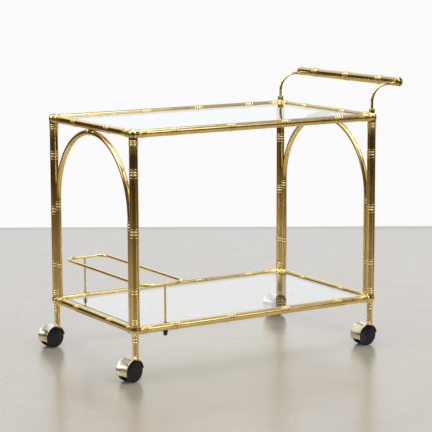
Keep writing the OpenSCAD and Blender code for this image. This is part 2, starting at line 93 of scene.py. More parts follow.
# %% [markdown]
# ## The camera
#
# The photograph was taken with a long lens from a little above the upper shelf, so the verticals stay
# nearly upright. The lens, the place and the tilt come from fitting the eight corners of the frame. The
# camera is turned by its yaw from +Y towards +X, tilted down by its pitch and rolled about its own view
# line.

# %% Camera at the photograph's angle
CAMERA_YAW, CAMERA_PITCH, CAMERA_ROLL = math.radians(31.774), math.radians(9.333), math.radians(-0.187)
CAMERA_LENS, CAMERA_FILM = 142.08, 36.0
CAMERA_FROM_MIDDLE = np.array([-2.3131, -3.7478, 0.9451])

data = bpy.data.cameras.new("camera")
data.lens, data.sensor_width = CAMERA_LENS, CAMERA_FILM
data.clip_start, data.clip_end = 0.1, 100.0
camera = into_scene("camera", data)
aim = Euler((math.radians(90) - CAMERA_PITCH, 0, -CAMERA_YAW), "XYZ").to_matrix()
camera.rotation_euler = (aim @ Euler((0, 0, CAMERA_ROLL), "XYZ").to_matrix()).to_euler()
camera.location = np.array([*middle, lower_z]) + CAMERA_FROM_MIDDLE
bpy.context.scene.camera = camera
bpy.context.scene.view_settings.view_transform = "Standard"
print("camera at", [round(v, 3) for v in camera.location])

# %% [markdown]
# ## Surfaces from numbers
#
# A turned piece is an outline spun about an axis. A bent tube is a circle carried along a path. Both are
# grids of points with rows along the piece and columns around it, so one function turns any such grid into
# a mesh. It also stores a UV map in metres, for scratches that follow the metal, and a wear value: how deep
# a point lies in a groove, for the tarnish that polishing leaves there, or how far it belongs to a tread or
# a cut edge of glass, whose band on the left end is a painted line for the rail's reflection.

# %% Grid to mesh
SHARP_EDGE = math.radians(40)


def patch(points, across, along, wear=None, closed=False, poles=(None, None)):
    """One grid: points[row, column], wrapped around its columns, and along its rows if closed.

    across and along are UV values in metres. poles are the points that close the first and the last row.
    """
    wear = np.zeros(len(points)) if wear is None else wear
    return dict(points=points, across=across, along=along, wear=wear, closed=closed, poles=poles)


def grid_faces(rows, columns, closed):
    """Corner indices of the quads (r, c), (r, c+1), (r+1, c+1), (r+1, c), with wrapped columns."""
    r = np.arange(rows if closed else rows - 1)[:, None]
    c = np.arange(columns)[None, :]
    here, after = r * columns, (r + 1) % rows * columns
    beside = (c + 1) % columns
    return np.stack([here + c, here + beside, after + beside, after + c], -1).reshape(-1, 4), r, c


def build_mesh(name, patches):
    """Joins patches into one mesh with a UV map, a wear attribute and smooth shading.

    Indices count on from patch to patch. A pole is one more point, joined to its row by a fan of triangles.
    """
    points, corners, sizes, uvs, wear = [], [], [], [], []
    count = 0
    for p in patches:
        rows, columns = p["points"].shape[:2]
        across, along = p["across"], p["along"]
        quads, r, c = grid_faces(rows, columns, p["closed"])
        points.append(p["points"].reshape(-1, 3))
        wear.append(np.repeat(p["wear"], columns))
        corners.append((quads + count).ravel())
        sizes.append(np.full(len(quads), 4))
        u = np.stack([across[c], across[c + 1], across[c + 1], across[c]], -1)
        v = np.stack([along[r], along[r], along[r + 1], along[r + 1]], -1)
        uvs.append(np.stack(np.broadcast_arrays(u, v), -1).reshape(-1, 2))
        first = count
        count += rows * columns
        for end, pole in zip((0, -1), p["poles"]):
            if pole is None:
                continue
            ring = first + end % rows * columns + np.arange(columns)
            pair = (np.roll(ring, -1), ring) if end == 0 else (ring, np.roll(ring, -1))
            points.append(np.reshape(pole, (1, 3)))
            wear.append(p["wear"][[end]])
            corners.append(np.stack([np.full(columns, count), *pair], -1).ravel())
            sizes.append(np.full(columns, 3))
            uvs.append(np.stack([np.repeat(across[:-1], 3), np.full(columns * 3, along[end])], -1))
            count += 1
    points, corners, sizes = np.concatenate(points), np.concatenate(corners), np.concatenate(sizes)
    uvs, wear = np.concatenate(uvs).astype(np.float32), np.concatenate(wear).astype(np.float32)
    mesh = bpy.data.meshes.new(name)
    mesh.vertices.add(len(points))
    mesh.vertices.foreach_set("co", points.astype(np.float32).ravel())
    mesh.loops.add(len(corners))
    mesh.loops.foreach_set("vertex_index", corners.astype(np.int32))
    mesh.polygons.add(len(sizes))
    mesh.polygons.foreach_set("loop_start", (np.cumsum(sizes) - sizes).astype(np.int32))
    mesh.update(calc_edges=True)
    mesh.uv_layers.new(name="UVMap").data.foreach_set("uv", uvs.ravel())
    mesh.attributes.new("wear", "FLOAT", "POINT").data.foreach_set("value", wear)
    mesh.polygons.foreach_set("use_smooth", np.ones(len(sizes), bool))
    mesh.set_sharp_from_angle(angle=SHARP_EDGE)
    mesh.validate()
    return mesh

# %% [markdown]
# ## Turning and bending
#
# The lathe function spins an outline of (height, radius) pairs: a point is the origin plus the height along
# the axis plus the radius times (cos, sin) in the plane across it. The bending function carries a circle
# along a path that lies in a plane, with the plane's normal as the fixed side direction, so the tube never
# twists.

# %% Turned and bent surfaces
GROOVE_REACH, GROOVE_FULL, CREST_DROP = 2.6 * MM, 0.5 * MM, 0.15 * MM


def outline_mm(pairs, height=0.0, radius=0.0):
    """(height, radius) pairs in millimetres, counted from a height and a radius in metres."""
    return np.array(pairs, float) * MM + (height, radius)


def on_axis(outline):
    """An outline closed on its axis: radius 0 is added at its first and at its last height."""
    outline = np.asarray(outline, float)
    return np.concatenate([[[outline[0, 0], 0]], outline, [[outline[-1, 0], 0]]])


def axis_frame(axis):
    """Two unit vectors across an axis, so that first x second = axis."""
    axis = np.asarray(axis, float) / np.linalg.norm(axis)
    second = np.cross(axis, X if abs(axis[0]) < 0.9 else Y)
    second /= np.linalg.norm(second)
    return np.cross(second, axis), second, axis


def groove_depth(height, radius):
    """How far a point of an outline lies below its highest neighbour within reach, from 0 to 1.

    A crest, which stands over its lowest neighbour, counts as negative, down to -1.
    """
    near = np.abs(height[:, None] - height) < GROOVE_REACH
    below = np.where(near, radius, -1).max(1) - radius
    above = radius - np.where(near, radius, 1).min(1)
    crest = np.clip(above / GROOVE_FULL, 0, 1) * np.clip(1 - below / CREST_DROP, 0, 1)
    return np.clip(below / GROOVE_FULL, 0, 1) - crest


def turned(outline, origin, axis, columns=48, grooved=False):
    """An outline spun about an axis: origin + height * axis + radius (cos a * first + sin a * second)."""
    height, radius = np.asarray(outline, float).T
    first, second, axis = axis_frame(axis)
    turn = np.linspace(0, 2 * np.pi, columns, endpoint=False)
    along = np.concatenate([[0], np.cumsum(np.hypot(np.diff(height), np.diff(radius)))])
    wear = groove_depth(height, radius) if grooved else np.zeros(len(height))
    poles = tuple(origin + axis * height[end] if radius[end] == 0 else None for end in (0, -1))
    keep = slice(int(radius[0] == 0), len(radius) - int(radius[-1] == 0))
    height, radius, along, wear = height[keep], radius[keep], along[keep], wear[keep]
    ring = np.cos(turn)[:, None] * first + np.sin(turn)[:, None] * second
    points = origin + height[:, None, None] * axis + radius[:, None, None] * ring
    return patch(points, np.linspace(0, 2 * np.pi * radius.max(), columns + 1), along, wear, False, poles)


def bent(path, tangent, normal, radius, columns, closed=False, wear=None):
    """A circle carried along a path in a plane: path + radius (cos a * side + sin a * normal).

    side = normal x tangent is the direction across the path that lies in the plane.
    """
    side = np.cross(np.broadcast_to(normal, tangent.shape), tangent)
    turn = np.linspace(0, 2 * np.pi, columns, endpoint=False)
    radius = np.broadcast_to(radius, (len(path),))
    ring = np.cos(turn)[:, None] * side[:, None] + np.sin(turn)[:, None] * normal
    points = path[:, None] + radius[:, None, None] * ring
    step = np.linalg.norm(np.diff(path, axis=0, append=path[:1]), axis=1)
    along = np.concatenate([[0], np.cumsum(step)])
    across = np.linspace(0, 2 * np.pi * radius.max(), columns + 1)
    return patch(points, across, along, wear, closed, (None, None) if closed else (path[0], path[-1]))


def up_and_over(s, start, way, leg, radius, angle):
    """Point and unit tangent at each length s of a path: up a leg, round a bend towards way, straight on.

    The bend turns by t = (s - leg) / radius, up to its angle. There the tangent is sin t way + cos t up and
    the point is start + radius ((1 - cos t) way + sin t up). The straight parts follow its end tangents.
    """
    past = (s - leg)[:, None]
    turn = np.clip(past / radius, 0, angle)
    straight = np.minimum(past, 0) + np.maximum(past - angle * radius, 0)
    tangent = np.sin(turn) * way + np.cos(turn) * Z
    bend = radius * ((1 - np.cos(turn)) * way + np.sin(turn) * Z)
    return start + bend + straight * tangent, tangent

# %% [markdown]
# ## Bamboo joints
#
# Bamboo-style tube is drawn brass with turned joints: two rounded beads close together, and a fine ring a
# little way off on each side. A bead is the cap of a circle that stands 0.7 mm out of the tube. An outline
# needs points only where it bends, so the stations crowd at the beads and are sparse between the joints.

# %% Outline of a bamboo tube
BEAD_OUT, BEAD_R, BEAD_PLACES = 0.7 * MM, 2.4 * MM, np.array([-3.5, 3.5]) * MM
LINE_OUT, LINE_R, LINE_PLACES = 0.3 * MM, 1.0 * MM, np.array([-10.5, 10.5]) * MM
BEAD_SPREAD = np.array([-1.3, -1, -0.92, -0.75, -0.5, -0.25, 0, 0.25, 0.5, 0.75, 0.92, 1, 1.3])
LINE_SPREAD = np.array([-1.5, -1, -0.6, 0, 0.6, 1, 1.5])
PLAIN_STEP = 24 * MM


def around(places, offsets):
    """Place + offset for every offset about every place, in one row."""
    return (np.asarray(places)[:, None] + offsets).ravel()


def bead_half(radius, out):
    """Half the width of a bead where it leaves its tube: sqrt(r^2 - (r - out)^2)."""
    return math.sqrt(radius**2 - (radius - out) ** 2)


def beads(height, places, radius, out):
    """Rise of round beads over a tube: the largest out - r + sqrt(r^2 - d^2) of all places, not below 0."""
    distance = np.asarray(places)[:, None] - height
    return np.maximum(out - radius + np.sqrt(np.maximum(radius**2 - distance**2, 0)), 0).max(0)


def tube_radius(height, joints, radius):
    """Radius of a jointed tube: its own plus the larger rise of the bead pairs and the fine rings."""
    pair = beads(height, around(joints, BEAD_PLACES), BEAD_R, BEAD_OUT)
    fine = beads(height, around(joints, LINE_PLACES), LINE_R, LINE_OUT)
    return radius + np.maximum(pair, fine)


def bamboo_outline(length, radius, joints):
    """Closed outline of a tube from -length/2 to length/2 with joints at the given heights."""
    plain = np.linspace(-length / 2, length / 2, max(3, int(length / PLAIN_STEP)))
    height = np.unique(np.concatenate([plain, around(joints, JOINT_STATIONS)]).round(7))
    outline = np.stack([height, tube_radius(height, joints, radius)], 1)
    return np.concatenate([[[-length / 2, 0]], outline, [[length / 2, 0]]])


def spaced(count, pitch):
    """Positions of count things a pitch apart, about the middle: (i - (count - 1) / 2) * pitch."""
    return (np.arange(count) - (count - 1) / 2) * pitch


JOINT_STATIONS = np.concatenate([around(BEAD_PLACES, bead_half(BEAD_R, BEAD_OUT) * BEAD_SPREAD),
                                 around(LINE_PLACES, bead_half(LINE_R, LINE_OUT) * LINE_SPREAD)])
print("points on the outline of one joint:", len(JOINT_STATIONS))

# %% [markdown]
# ## Finishes
#
# Each finish is one Principled shader whose colour, roughness and bump vary with procedural noise. Object
# coordinates are in metres, so a noise scale of 40 makes patches of about 25 mm. The UV map is in metres
# too, with u around a tube and v along it, so a noise squeezed along u draws the fine lines that polishing
# leaves.

# %% Node helpers
class Nodes:
    """Makes shader nodes in one tree. A value is a number, a tuple or the output socket of another node."""

    def __init__(self, tree):
        """Keeps the tree that all further nodes go into."""
        self.tree = tree

    def feed(self, socket, value):
        """Links a socket to a value that is a socket, or sets it. A colour gets a fourth number, 1."""
        if isinstance(value, bpy.types.NodeSocket):
            self.tree.links.new(value, socket)
        else:
            socket.default_value = (*value, 1) if socket.type == "RGBA" else value

    def fill(self, node, **inputs):
        """Feeds a node's inputs by name, with _ for a space."""
        for name, value in inputs.items():
            self.feed(node.inputs[name.replace("_", " ")], value)
        return node

    def make(self, kind, **inputs):
        """A new node of a kind, with some of its inputs fed."""
        return self.fill(self.tree.nodes.new(kind), **inputs)

    def shade(self, **inputs):
        """Feeds the Principled shader of a material and returns it."""
        return self.fill(self.tree.nodes["Principled BSDF"], **inputs)

    def noise(self, scale, detail=3.0, source="Object", stretch=(1, 1, 1)):
        """Noise from 0 to 1 at scale * stretch * the Object or UV coordinates."""
        place = self.make("ShaderNodeTexCoord").outputs[source]
        place = self.make("ShaderNodeMapping", Vector=place, Scale=stretch).outputs["Vector"]
        return self.make("ShaderNodeTexNoise", Vector=place, Scale=scale, Detail=detail).outputs["Fac"]

    def ramp(self, value, low, high, out_low=0.0, out_high=1.0):
        """Maps value in proportion from low..high to out_low..out_high and clamps it there."""
        limits = {"From Min": low, "From Max": high, "To Min": out_low, "To Max": out_high}
        return self.make("ShaderNodeMapRange", Value=value, **limits).outputs["Result"]

    def blend(self, share, first, second, kind="MIX"):
        """Two colours mixed, (1 - share) * first + share * second, or with MULTIPLY their product."""
        node = self.make("ShaderNodeMix")
        node.data_type, node.blend_type = "RGBA", kind
        self.feed(node.inputs["Factor"], share)
        for socket, value in zip([s for s in node.inputs if s.type == "RGBA"], (first, second)):
            self.feed(socket, value)
        return next(s for s in node.outputs if s.type == "RGBA")

    def combine(self, operation, first, second):
        """One arithmetic step on two values."""
        node = self.make("ShaderNodeMath")
        node.operation = operation
        self.feed(node.inputs[0], first)
        self.feed(node.inputs[1], second)
        return node.outputs["Value"]

    def times(self, first, second):
        """first * second."""
        return self.combine("MULTIPLY", first, second)

    def larger(self, first, second):
        """The larger of two values."""
        return self.combine("MAXIMUM", first, second)

    def reach(self, source, way):
        """Dot product of a coordinate and a direction: how far the coordinate reaches along way."""
        node = self.make("ShaderNodeVectorMath")
        node.operation = "DOT_PRODUCT"
        self.feed(node.inputs[0], self.make("ShaderNodeTexCoord").outputs[source])
        self.feed(node.inputs[1], tuple(way))
        return node.outputs["Value"]

    def wear(self):
        """The wear value that build_mesh stores on the mesh."""
        node = self.make("ShaderNodeAttribute")
        node.attribute_name = "wear"
        return node.outputs["Fac"]

    def ray(self, name):
        """What kind of light ray is asking, or how often it has bounced."""
        return self.make("ShaderNodeLightPath").outputs[name]

    def bump(self, height, strength, distance):
        """The normal tilted by the slope of height * distance in metres, at a strength from 0 to 1."""
        node = self.make("ShaderNodeBump", Height=height, Strength=strength, Distance=distance)
        return node.outputs["Normal"]


def new_finish(name):
    """A material with one Principled shader, and the maker of its nodes."""
    material = bpy.data.materials.new(name)
    material.use_nodes = True
    return material, Nodes(material.node_tree)

# %% [markdown]
# ## Polished brass
#
# The frame is polished brass that has aged a little: warm yellow where it is rubbed, browner in the grooves
# beside the beads, with faint cloudy patches, a few dark specks and hairlines along the tubes. Colour and
# roughness share the same patches, because tarnish is duller as well as darker.

# %% The brass of the frame
CLOUDS, SPECKS, THIN, WORN, SMEARS = 22, 700, 9, 130, 60
HAIRLINES = (2600, 55, 1)
SMEAR_ROUGH, DIRT_ROUGH, CREST_ROUGH = 0.09, 0.25, 0.22


def polished_brass(name, bright, deep, tarnish, roughness, grooves=True):
    """Brass: bright mixed to deep by clouds, then to tarnish by dirt, the larger of specks and grooves.

    Roughness is a smeared base plus shares of the dirt and the rubbed crests. Wear is above 0 in a groove
    and below 0 on a crest.
    """
    material, nodes = new_finish(name)
    clouds = nodes.ramp(nodes.noise(CLOUDS, 4), 0.38, 0.68)
    specks = nodes.ramp(nodes.noise(SPECKS, 2), 0.70, 0.78)
    dirt = nodes.times(specks, nodes.ramp(nodes.noise(THIN), 0.45, 0.75, 0, 0.8))
    if grooves:
        worn = nodes.ramp(nodes.noise(WORN, 2), 0.3, 0.6, 0.08, 0.35)
        dirt = nodes.larger(dirt, nodes.times(nodes.larger(nodes.wear(), 0), worn))
    smears = nodes.noise(SMEARS, stretch=(1, 1, 0.35))
    rough = nodes.ramp(smears, 0.35, 0.7, roughness, roughness + SMEAR_ROUGH)
    rough = nodes.combine("ADD", rough, nodes.times(dirt, DIRT_ROUGH))
    if grooves:
        crest = nodes.larger(nodes.times(nodes.wear(), -1), 0)
        rough = nodes.combine("ADD", rough, nodes.times(crest, CREST_ROUGH))
    colour = nodes.blend(dirt, nodes.blend(clouds, bright, deep), tarnish)
    hairlines = nodes.bump(nodes.noise(1, 2, "UV", HAIRLINES), 0.10, 0.04 * MM)
    nodes.shade(Base_Color=colour, Roughness=rough, Metallic=1.0, Normal=hairlines)
    return material


BRASS = polished_brass("polished_brass", (0.94, 0.735, 0.33), (0.87, 0.66, 0.27), (0.45, 0.30, 0.11), 0.09)
PALE_BRASS = polished_brass("hood_brass", (0.92, 0.83, 0.66), (0.84, 0.73, 0.53), (0.50, 0.38, 0.20), 0.17,
                            grooves=False)
print("nodes of both kinds of brass:", [len(m.node_tree.nodes) for m in (BRASS, PALE_BRASS)])

# %% [markdown]
# ## Steel, black plastic and bushes
#
# The caster pins are plain turned steel. The wheels are moulded black plastic: glossy on the disc, with a
# very fine moulded skin, and scuffed and dusty on the tread, where the wheel meets the floor. The tread is
# found with the "wear" attribute, which the wheel's surface sets to 1 there.

# %% Steel, plastic and bushes
STEEL_TONES, STEEL_MARKS = 90, (900, 900, 2500)
DUST, MOTTLE, GLOSS, MOULD_SKIN, DUST_ROUGH, PLASTIC_IOR = 240, 320, 180, 2600, 0.12, 1.5
BUSH_TONES, BUSH_GLOSS = 260, 500


def turned_steel():
    """Steel: two greys mixed by noise, and finer noise as turning marks in its gloss and bump."""
    material, nodes = new_finish("turned_steel")
    marks = nodes.noise(1, 2, "Object", STEEL_MARKS)
    tones = nodes.ramp(nodes.noise(STEEL_TONES), 0.35, 0.7)
    rough, bump = nodes.ramp(marks, 0.3, 0.7, 0.22, 0.34), nodes.bump(marks, 0.15, 0.03 * MM)
    nodes.shade(Base_Color=nodes.blend(tones, (0.60, 0.60, 0.60), (0.46, 0.45, 0.44)), Roughness=rough,
                Metallic=1.0, Normal=bump)
    return material


def wheel_plastic():
    """Black plastic: a mottled skin mixed to dust by tread * noise; the dust also adds to the roughness."""
    material, nodes = new_finish("wheel_plastic")
    dust = nodes.times(nodes.wear(), nodes.ramp(nodes.noise(DUST, 4), 0.35, 0.65, 0.25, 0.9))
    mottle = nodes.ramp(nodes.noise(MOTTLE, 4), 0.3, 0.75)
    skin = nodes.blend(mottle, (0.004, 0.004, 0.006), (0.010, 0.010, 0.013))
    gloss = nodes.ramp(nodes.noise(GLOSS), 0.3, 0.7, 0.13, 0.22)
    nodes.shade(Base_Color=nodes.blend(dust, skin, (0.045, 0.043, 0.040)), IOR=PLASTIC_IOR,
                Roughness=nodes.combine("ADD", gloss, nodes.times(dust, DUST_ROUGH)),
                Normal=nodes.bump(nodes.noise(MOULD_SKIN, 2), 0.12, 0.05 * MM))
    return material


def dark_bush():
    """Dull dark plastic: two near blacks mixed by noise, with a roughness that follows finer noise."""
    material, nodes = new_finish("dark_bush")
    tones = nodes.ramp(nodes.noise(BUSH_TONES), 0.3, 0.7)
    nodes.shade(Base_Color=nodes.blend(tones, (0.020, 0.019, 0.018), (0.045, 0.042, 0.038)),
                Roughness=nodes.ramp(nodes.noise(BUSH_GLOSS, 2), 0.3, 0.7, 0.38, 0.55))
    return material


STEEL, WHEEL, BUSH = turned_steel(), wheel_plastic(), dark_bush()
print("finishes so far:", len(bpy.data.materials))

# %% [markdown]
# ## Glass
#
# Float glass is nearly clear through its face and green along its edge, because light at the edge has gone
# a long way through it. The green is a volume that absorbs a little. Near the rim, where the "wear"
# attribute is 1, the surface passes less light and is tinted dark green: partly the glass's own green edge,
# and on the left end, where the band is wider, a painted dark line for the rail's reflection in the glass.
# Rays from the lamps go straight through a Transparent shader instead, so that the glass throws only a
# faint shadow.

# %% Glass and clear pads
GLASS_IOR, GLASS_HAZE = 1.5, 35


def clear_glass(name, tint, density, shadow, roughness, edge):
    """Glass: passes white mixed to edge by wear at its surface and absorbs all but tint inside, per metre.

    For shadow rays it is a sheet that passes the shadow colour.
    """
    material, nodes = new_finish(name)
    haze = nodes.ramp(nodes.noise(GLASS_HAZE, 4), 0.55, 0.8, *roughness)
    # Near the rim the surface tint is the glass's green edge, and on the left end also a painted line.
    shader = nodes.shade(Base_Color=nodes.blend(nodes.wear(), (1, 1, 1), edge), Roughness=haze,
                         Transmission_Weight=1.0, IOR=GLASS_IOR)
    passing = nodes.make("ShaderNodeBsdfTransparent", Color=shadow)
    either = nodes.make("ShaderNodeMixShader", Fac=nodes.ray("Is Shadow Ray"))
    nodes.feed(either.inputs[1], shader.outputs["BSDF"])
    nodes.feed(either.inputs[2], passing.outputs["BSDF"])
    body = nodes.make("ShaderNodeVolumeAbsorption", Color=tint, Density=density)
    output = material.node_tree.nodes["Material Output"]
    nodes.fill(output, Surface=either.outputs["Shader"], Volume=body.outputs["Volume"])
    return material


GLASS = clear_glass("float_glass", (0.70, 0.93, 0.84), 9.0, (0.94, 0.95, 0.945), (0.0, 0.03),
                    (0.035, 0.07, 0.05))
CLEAR_PAD = clear_glass("clear_pad", (0.90, 0.93, 0.90), 30.0, (0.80, 0.82, 0.80), (0.15, 0.25), (1, 1, 1))
print("finishes:", [m.name for m in bpy.data.materials])

# %% [markdown]
# ## Posts, rails and the handle bar
#
# All the jointed tubes are one shape: a straight tube with joints at an even pitch. Each takes its axis,
# its length and its radius from the construction tube that it replaces, and runs a millimetre further into
# its fittings, so that no gap shows at the neck.

# %% Jointed tubes
OVERLAP = 1.0 * MM
POST_JOINTS, LONG_JOINTS = (3, 145 * MM), (4, 163 * MM)
END_JOINTS, BAR_JOINTS = (2, 177 * MM), (3, 146 * MM)
totals = {"pieces": 0, "triangles": 0}


def add_piece(name, patches, node, material=BRASS, body="frame"):
    """Makes a piece from patches in the place of a node, with its finish and slot, and fixes it to a body.

    A face of n corners counts as n - 2 triangles.
    """
    mesh = build_mesh(name, patches)
    mesh.materials.append(material)
    piece = into_scene(name, mesh)
    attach(piece, body)
    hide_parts(node)
    totals["pieces"] += 1
    totals["triangles"] += sum(len(f.vertices) - 2 for f in mesh.polygons)


def jointed_tube(node, axis, count, pitch, extend=OVERLAP):
    """A bamboo tube in a construction tube's place: its length + 2 extend, its radius less a bead."""
    low, high, mid = box_of(node)
    run = int(np.argmax(axis))
    radius = (high - low)[(run + 1) % 3] / 2 - BEAD_OUT
    outline = bamboo_outline(high[run] - low[run] + 2 * extend, radius, spaced(count, pitch))
    add_piece("tube_" + node, [turned(outline, mid, axis, grooved=True)], node)


for corner in CORNERS:
    jointed_tube("post_" + corner, Z, *POST_JOINTS)
for level in ("top", "bottom"):
    for place in ("front", "back"):
        jointed_tube(f"{level}_rail_{place}", X, *LONG_JOINTS)
    for place in ("left", "right"):
        jointed_tube(f"{level}_rail_{place}", Y, *END_JOINTS)
jointed_tube("handle_bar", Y, *BAR_JOINTS, extend=0)
print("jointed tubes:", totals)

# %% [markdown]
# ## Corner fittings
#
# A fitting is a cast ball with a turned neck for each tube. Seen from the middle of the ball, every
# direction meets the surface once, so the skin is a distance for each direction: the smooth largest of the
# ball and the necks. That gives the soft fillets of a casting. The ringed part of each neck is crisp, so it
# is a turned sleeve.

# %% Ball, necks and rings
BALL_R = 13 * MM
NECK_OUT, NECK_HIDDEN, NECK_SINK = 0.3 * MM, 0.08 * MM, 2 * MM
RING_OUT, RING_R, RING_PITCH, RING_MARGIN = 0.7 * MM, 2.0 * MM, 4.8 * MM, 2.5 * MM
RING_SPREAD = np.array([-1.2, -1, -0.9, -0.7, -0.4, 0, 0.4, 0.7, 0.9, 1, 1.2])
SLEEVE_START, SLEEVE_BEVEL, SLEEVE_BEVEL_IN = 13 * MM, 0.3 * MM, 0.25 * MM
LEG_SHOULDER, LEG_BOSS_R = 11.4 * MM, 8.1 * MM
SOCKET_R, SOCKET_TOP = 8 * MM, 21.5 * MM
TINY = 1e-6
rail_low, rail_high, _ = box_of("top_rail_front")
post_low, post_high, _ = box_of("post_fl")
rail_r = (rail_high - rail_low)[2] / 2 - BEAD_OUT
post_r = (post_high - post_low)[0] / 2 - BEAD_OUT
rail_reach = rail_low[0] - post_axis["fl"][0]
post_reach = post_low[2] - lower_z
print("rail radius", rail_r.round(5), "post radius", post_r.round(5))
print("reach of the necks to the rails and posts", rail_reach.round(4), post_reach.round(4))


def fitting_skin(centre, necks, flat=None, rows=72, columns=144, power=18):
    """Ball and necks as one skin around a centre.

    A neck of radius n lies at n / sin(a) from the centre, where a is the angle to its axis, and ends at
    length / cos(a). The skin is (sum of d^p)^(1/p) over the ball and the necks. flat is a direction and the
    distance at which the casting is faced off.
    """
    tilt = (np.arange(rows) + 1) * np.pi / (rows + 1) - np.pi
    turn = np.linspace(0, 2 * np.pi, columns, endpoint=False)
    out = -np.sin(tilt)[:, None]
    up = np.broadcast_to(np.cos(tilt)[:, None], (rows, columns))
    way = np.stack([out * np.cos(turn), out * np.sin(turn), up], -1)
    ends = np.array([-Z, Z])

    def distance(direction):
        """Distance of the skin from the centre along each direction, by the formula above."""
        parts = [np.full(direction.shape[:-1], BALL_R)]
        for axis, radius, length in necks:
            along = direction @ axis
            across = np.sqrt(np.maximum(1 - along**2, TINY**2))
            reach = np.minimum(radius / across, length / np.maximum(along, TINY))
            parts.append(np.where(along > 0, reach, TINY))
        skin = (np.array(parts) ** power).sum(0) ** (1 / power)
        if flat is not None:
            skin = np.minimum(skin, flat[1] / np.maximum(direction @ flat[0], TINY))
        return skin

    points = centre + way * distance(way)[..., None]
    poles = tuple(centre + ends * distance(ends)[:, None])
    across = np.linspace(0, 2 * np.pi * BALL_R, columns + 1)
    return patch(points, across, (tilt + np.pi) * BALL_R, poles=poles)


def ring_sleeve(centre, axis, radius, reach):
    """Turned sleeve of a neck with three rings a pitch apart, from inside the ball to its end."""
    rings = reach - RING_MARGIN - np.arange(3) * RING_PITCH
    end = reach - SLEEVE_BEVEL
    near = around(rings, bead_half(RING_R, RING_OUT) * RING_SPREAD)
    height = np.unique(np.concatenate([[SLEEVE_START, end], near[near < end]]).round(7))
    body = np.stack([height, radius + beads(height, rings, RING_R, RING_OUT)], 1)
    outline = on_axis(np.concatenate([body, [[reach, radius - SLEEVE_BEVEL_IN]]]))
    return turned(outline, centre, axis, grooved=True)


def rod_socket(centre):
    """Socket on a top fitting: a short turned tube with a thin rim, open 2 mm deep round the rod."""
    pairs = [(-13.5, 0), (-7.5, 0), (-2.4, 0), (-2, 0.1), (-1.6, 0.4), (-0.4, 0.4), (0, 0.1), (0, -3.8),
             (-2, -4)]
    return turned(on_axis(outline_mm(pairs, SOCKET_TOP, SOCKET_R)), centre, Z, 40, True)


def corner_fitting(corner, top):
    """A fitting: the skin with its necks a little below the ringed sleeves, one sleeve for each tube.

    A top fitting on the right also has the socket of the handle rod, and a lower one the neck for the leg.
    """
    x_side, y_side = CORNERS[corner]
    centre = np.array([*post_axis[corner], upper_z if top else lower_z])
    ways = [(-x_side * X, rail_r, rail_reach), (-y_side * Y, rail_r, rail_reach),
            (-Z if top else Z, post_r, post_reach)]
    necks = [(way, radius + NECK_OUT - NECK_HIDDEN, SLEEVE_START + NECK_SINK) for way, radius, _ in ways]
    if not top:
        necks.append((-Z, LEG_BOSS_R, SLEEVE_START + NECK_SINK))
    patches = [fitting_skin(centre, necks, None if top else (-Z, LEG_SHOULDER))]
    patches += [ring_sleeve(centre, way, radius + NECK_OUT, reach) for way, radius, reach in ways]
    if top and x_side > 0:
        patches.append(rod_socket(centre))
    node = ("top_corner_" if top else "bottom_corner_") + corner
    add_piece("cast_" + node, patches, node)


for corner in CORNERS:
    corner_fitting(corner, True)
    corner_fitting(corner, False)
print("with the fittings:", totals)

# %% [markdown]
# ## Arches
#
# Each end has an arch: thin tube bent round a half circle, with two straight legs that stand beside the
# posts. The whole tube is one path measured by its length, so a joint is simply a place along that length.

# %% Arches
ARCH_R, ARCH_FOOT_SINK = 7 * MM, 4 * MM
ARCH_LOW_JOINT, ARCH_HIGH_DROP, CROWN_BEAD_ANGLE = 94 * MM, 16 * MM, math.radians(4)
LEG_POINTS, BEND_POINTS = 20, 91
arch_low, arch_high, _ = box_of("left_arch")
arch_bend_r = (arch_high[1] - arch_low[1]) / 2 - ARCH_R - BEAD_OUT
arch_spring_z = upper_z - rail_r - ARCH_R - arch_bend_r
arch_foot_z = lower_z + rail_r - ARCH_FOOT_SINK
arch_leg = arch_spring_z - arch_foot_z


def arch(node, x):
    """One bent tube: a joint low and high on each leg, and two beads at an angle about the crown."""
    total = 2 * arch_leg + np.pi * arch_bend_r
    low, high = ARCH_LOW_JOINT + lower_z - arch_foot_z, arch_leg - ARCH_HIGH_DROP
    joints = np.array([low, high, total - high, total - low])
    crowns = total / 2 + np.array([-1, 1]) * CROWN_BEAD_ANGLE * arch_bend_r
    leg = np.linspace(0, arch_leg, LEG_POINTS)
    bend = arch_leg + np.linspace(0, np.pi, BEND_POINTS) * arch_bend_r
    near = [around(joints, JOINT_STATIONS), around(crowns, BEAD_R * np.linspace(-0.8, 0.8, 13))]
    s = np.unique(np.concatenate([leg, bend, total - leg, *near]).round(6))
    radius = np.maximum(tube_radius(s, joints, ARCH_R), ARCH_R + beads(s, crowns, BEAD_R, BEAD_OUT))
    start = np.array([x, middle[1] - arch_bend_r, arch_spring_z])
    path, tangent = up_and_over(s, start, Y, arch_leg, arch_bend_r, np.pi)
    add_piece("bent_" + node, [bent(path, tangent, X, radius, 36, wear=groove_depth(s, radius))], node)


arch("left_arch", post_axis["fl"][0])
arch("right_arch", post_axis["fr"][0])
print("bend radius of the arches:", round(arch_bend_r, 4), totals)

# %% [markdown]
# ## Glass shelves
#
# A shelf is a plate of 5 mm float glass with rounded corners and a small ground bevel on both edges. It is
# made as rows of rounded rectangles: inside the lower face, along the bevels and inside the upper face. The
# rows near the rim carry the wear value that darkens the glass there to its green edge, over a wider band
# on the left end, which is a painted line for the rail's reflection.

# %% Glass plates
GLASS_CORNER_R, GLASS_CORNER_MIN, GLASS_BEVEL = 6 * MM, 1 * MM, 0.8 * MM
# The extra width on the left end is a painted dark line for the rail's reflection in the glass.
GREEN_FULL, GREEN_END, LEFT_PAINTED_LINE = 2.6 * MM, 4.2 * MM, 4 * MM


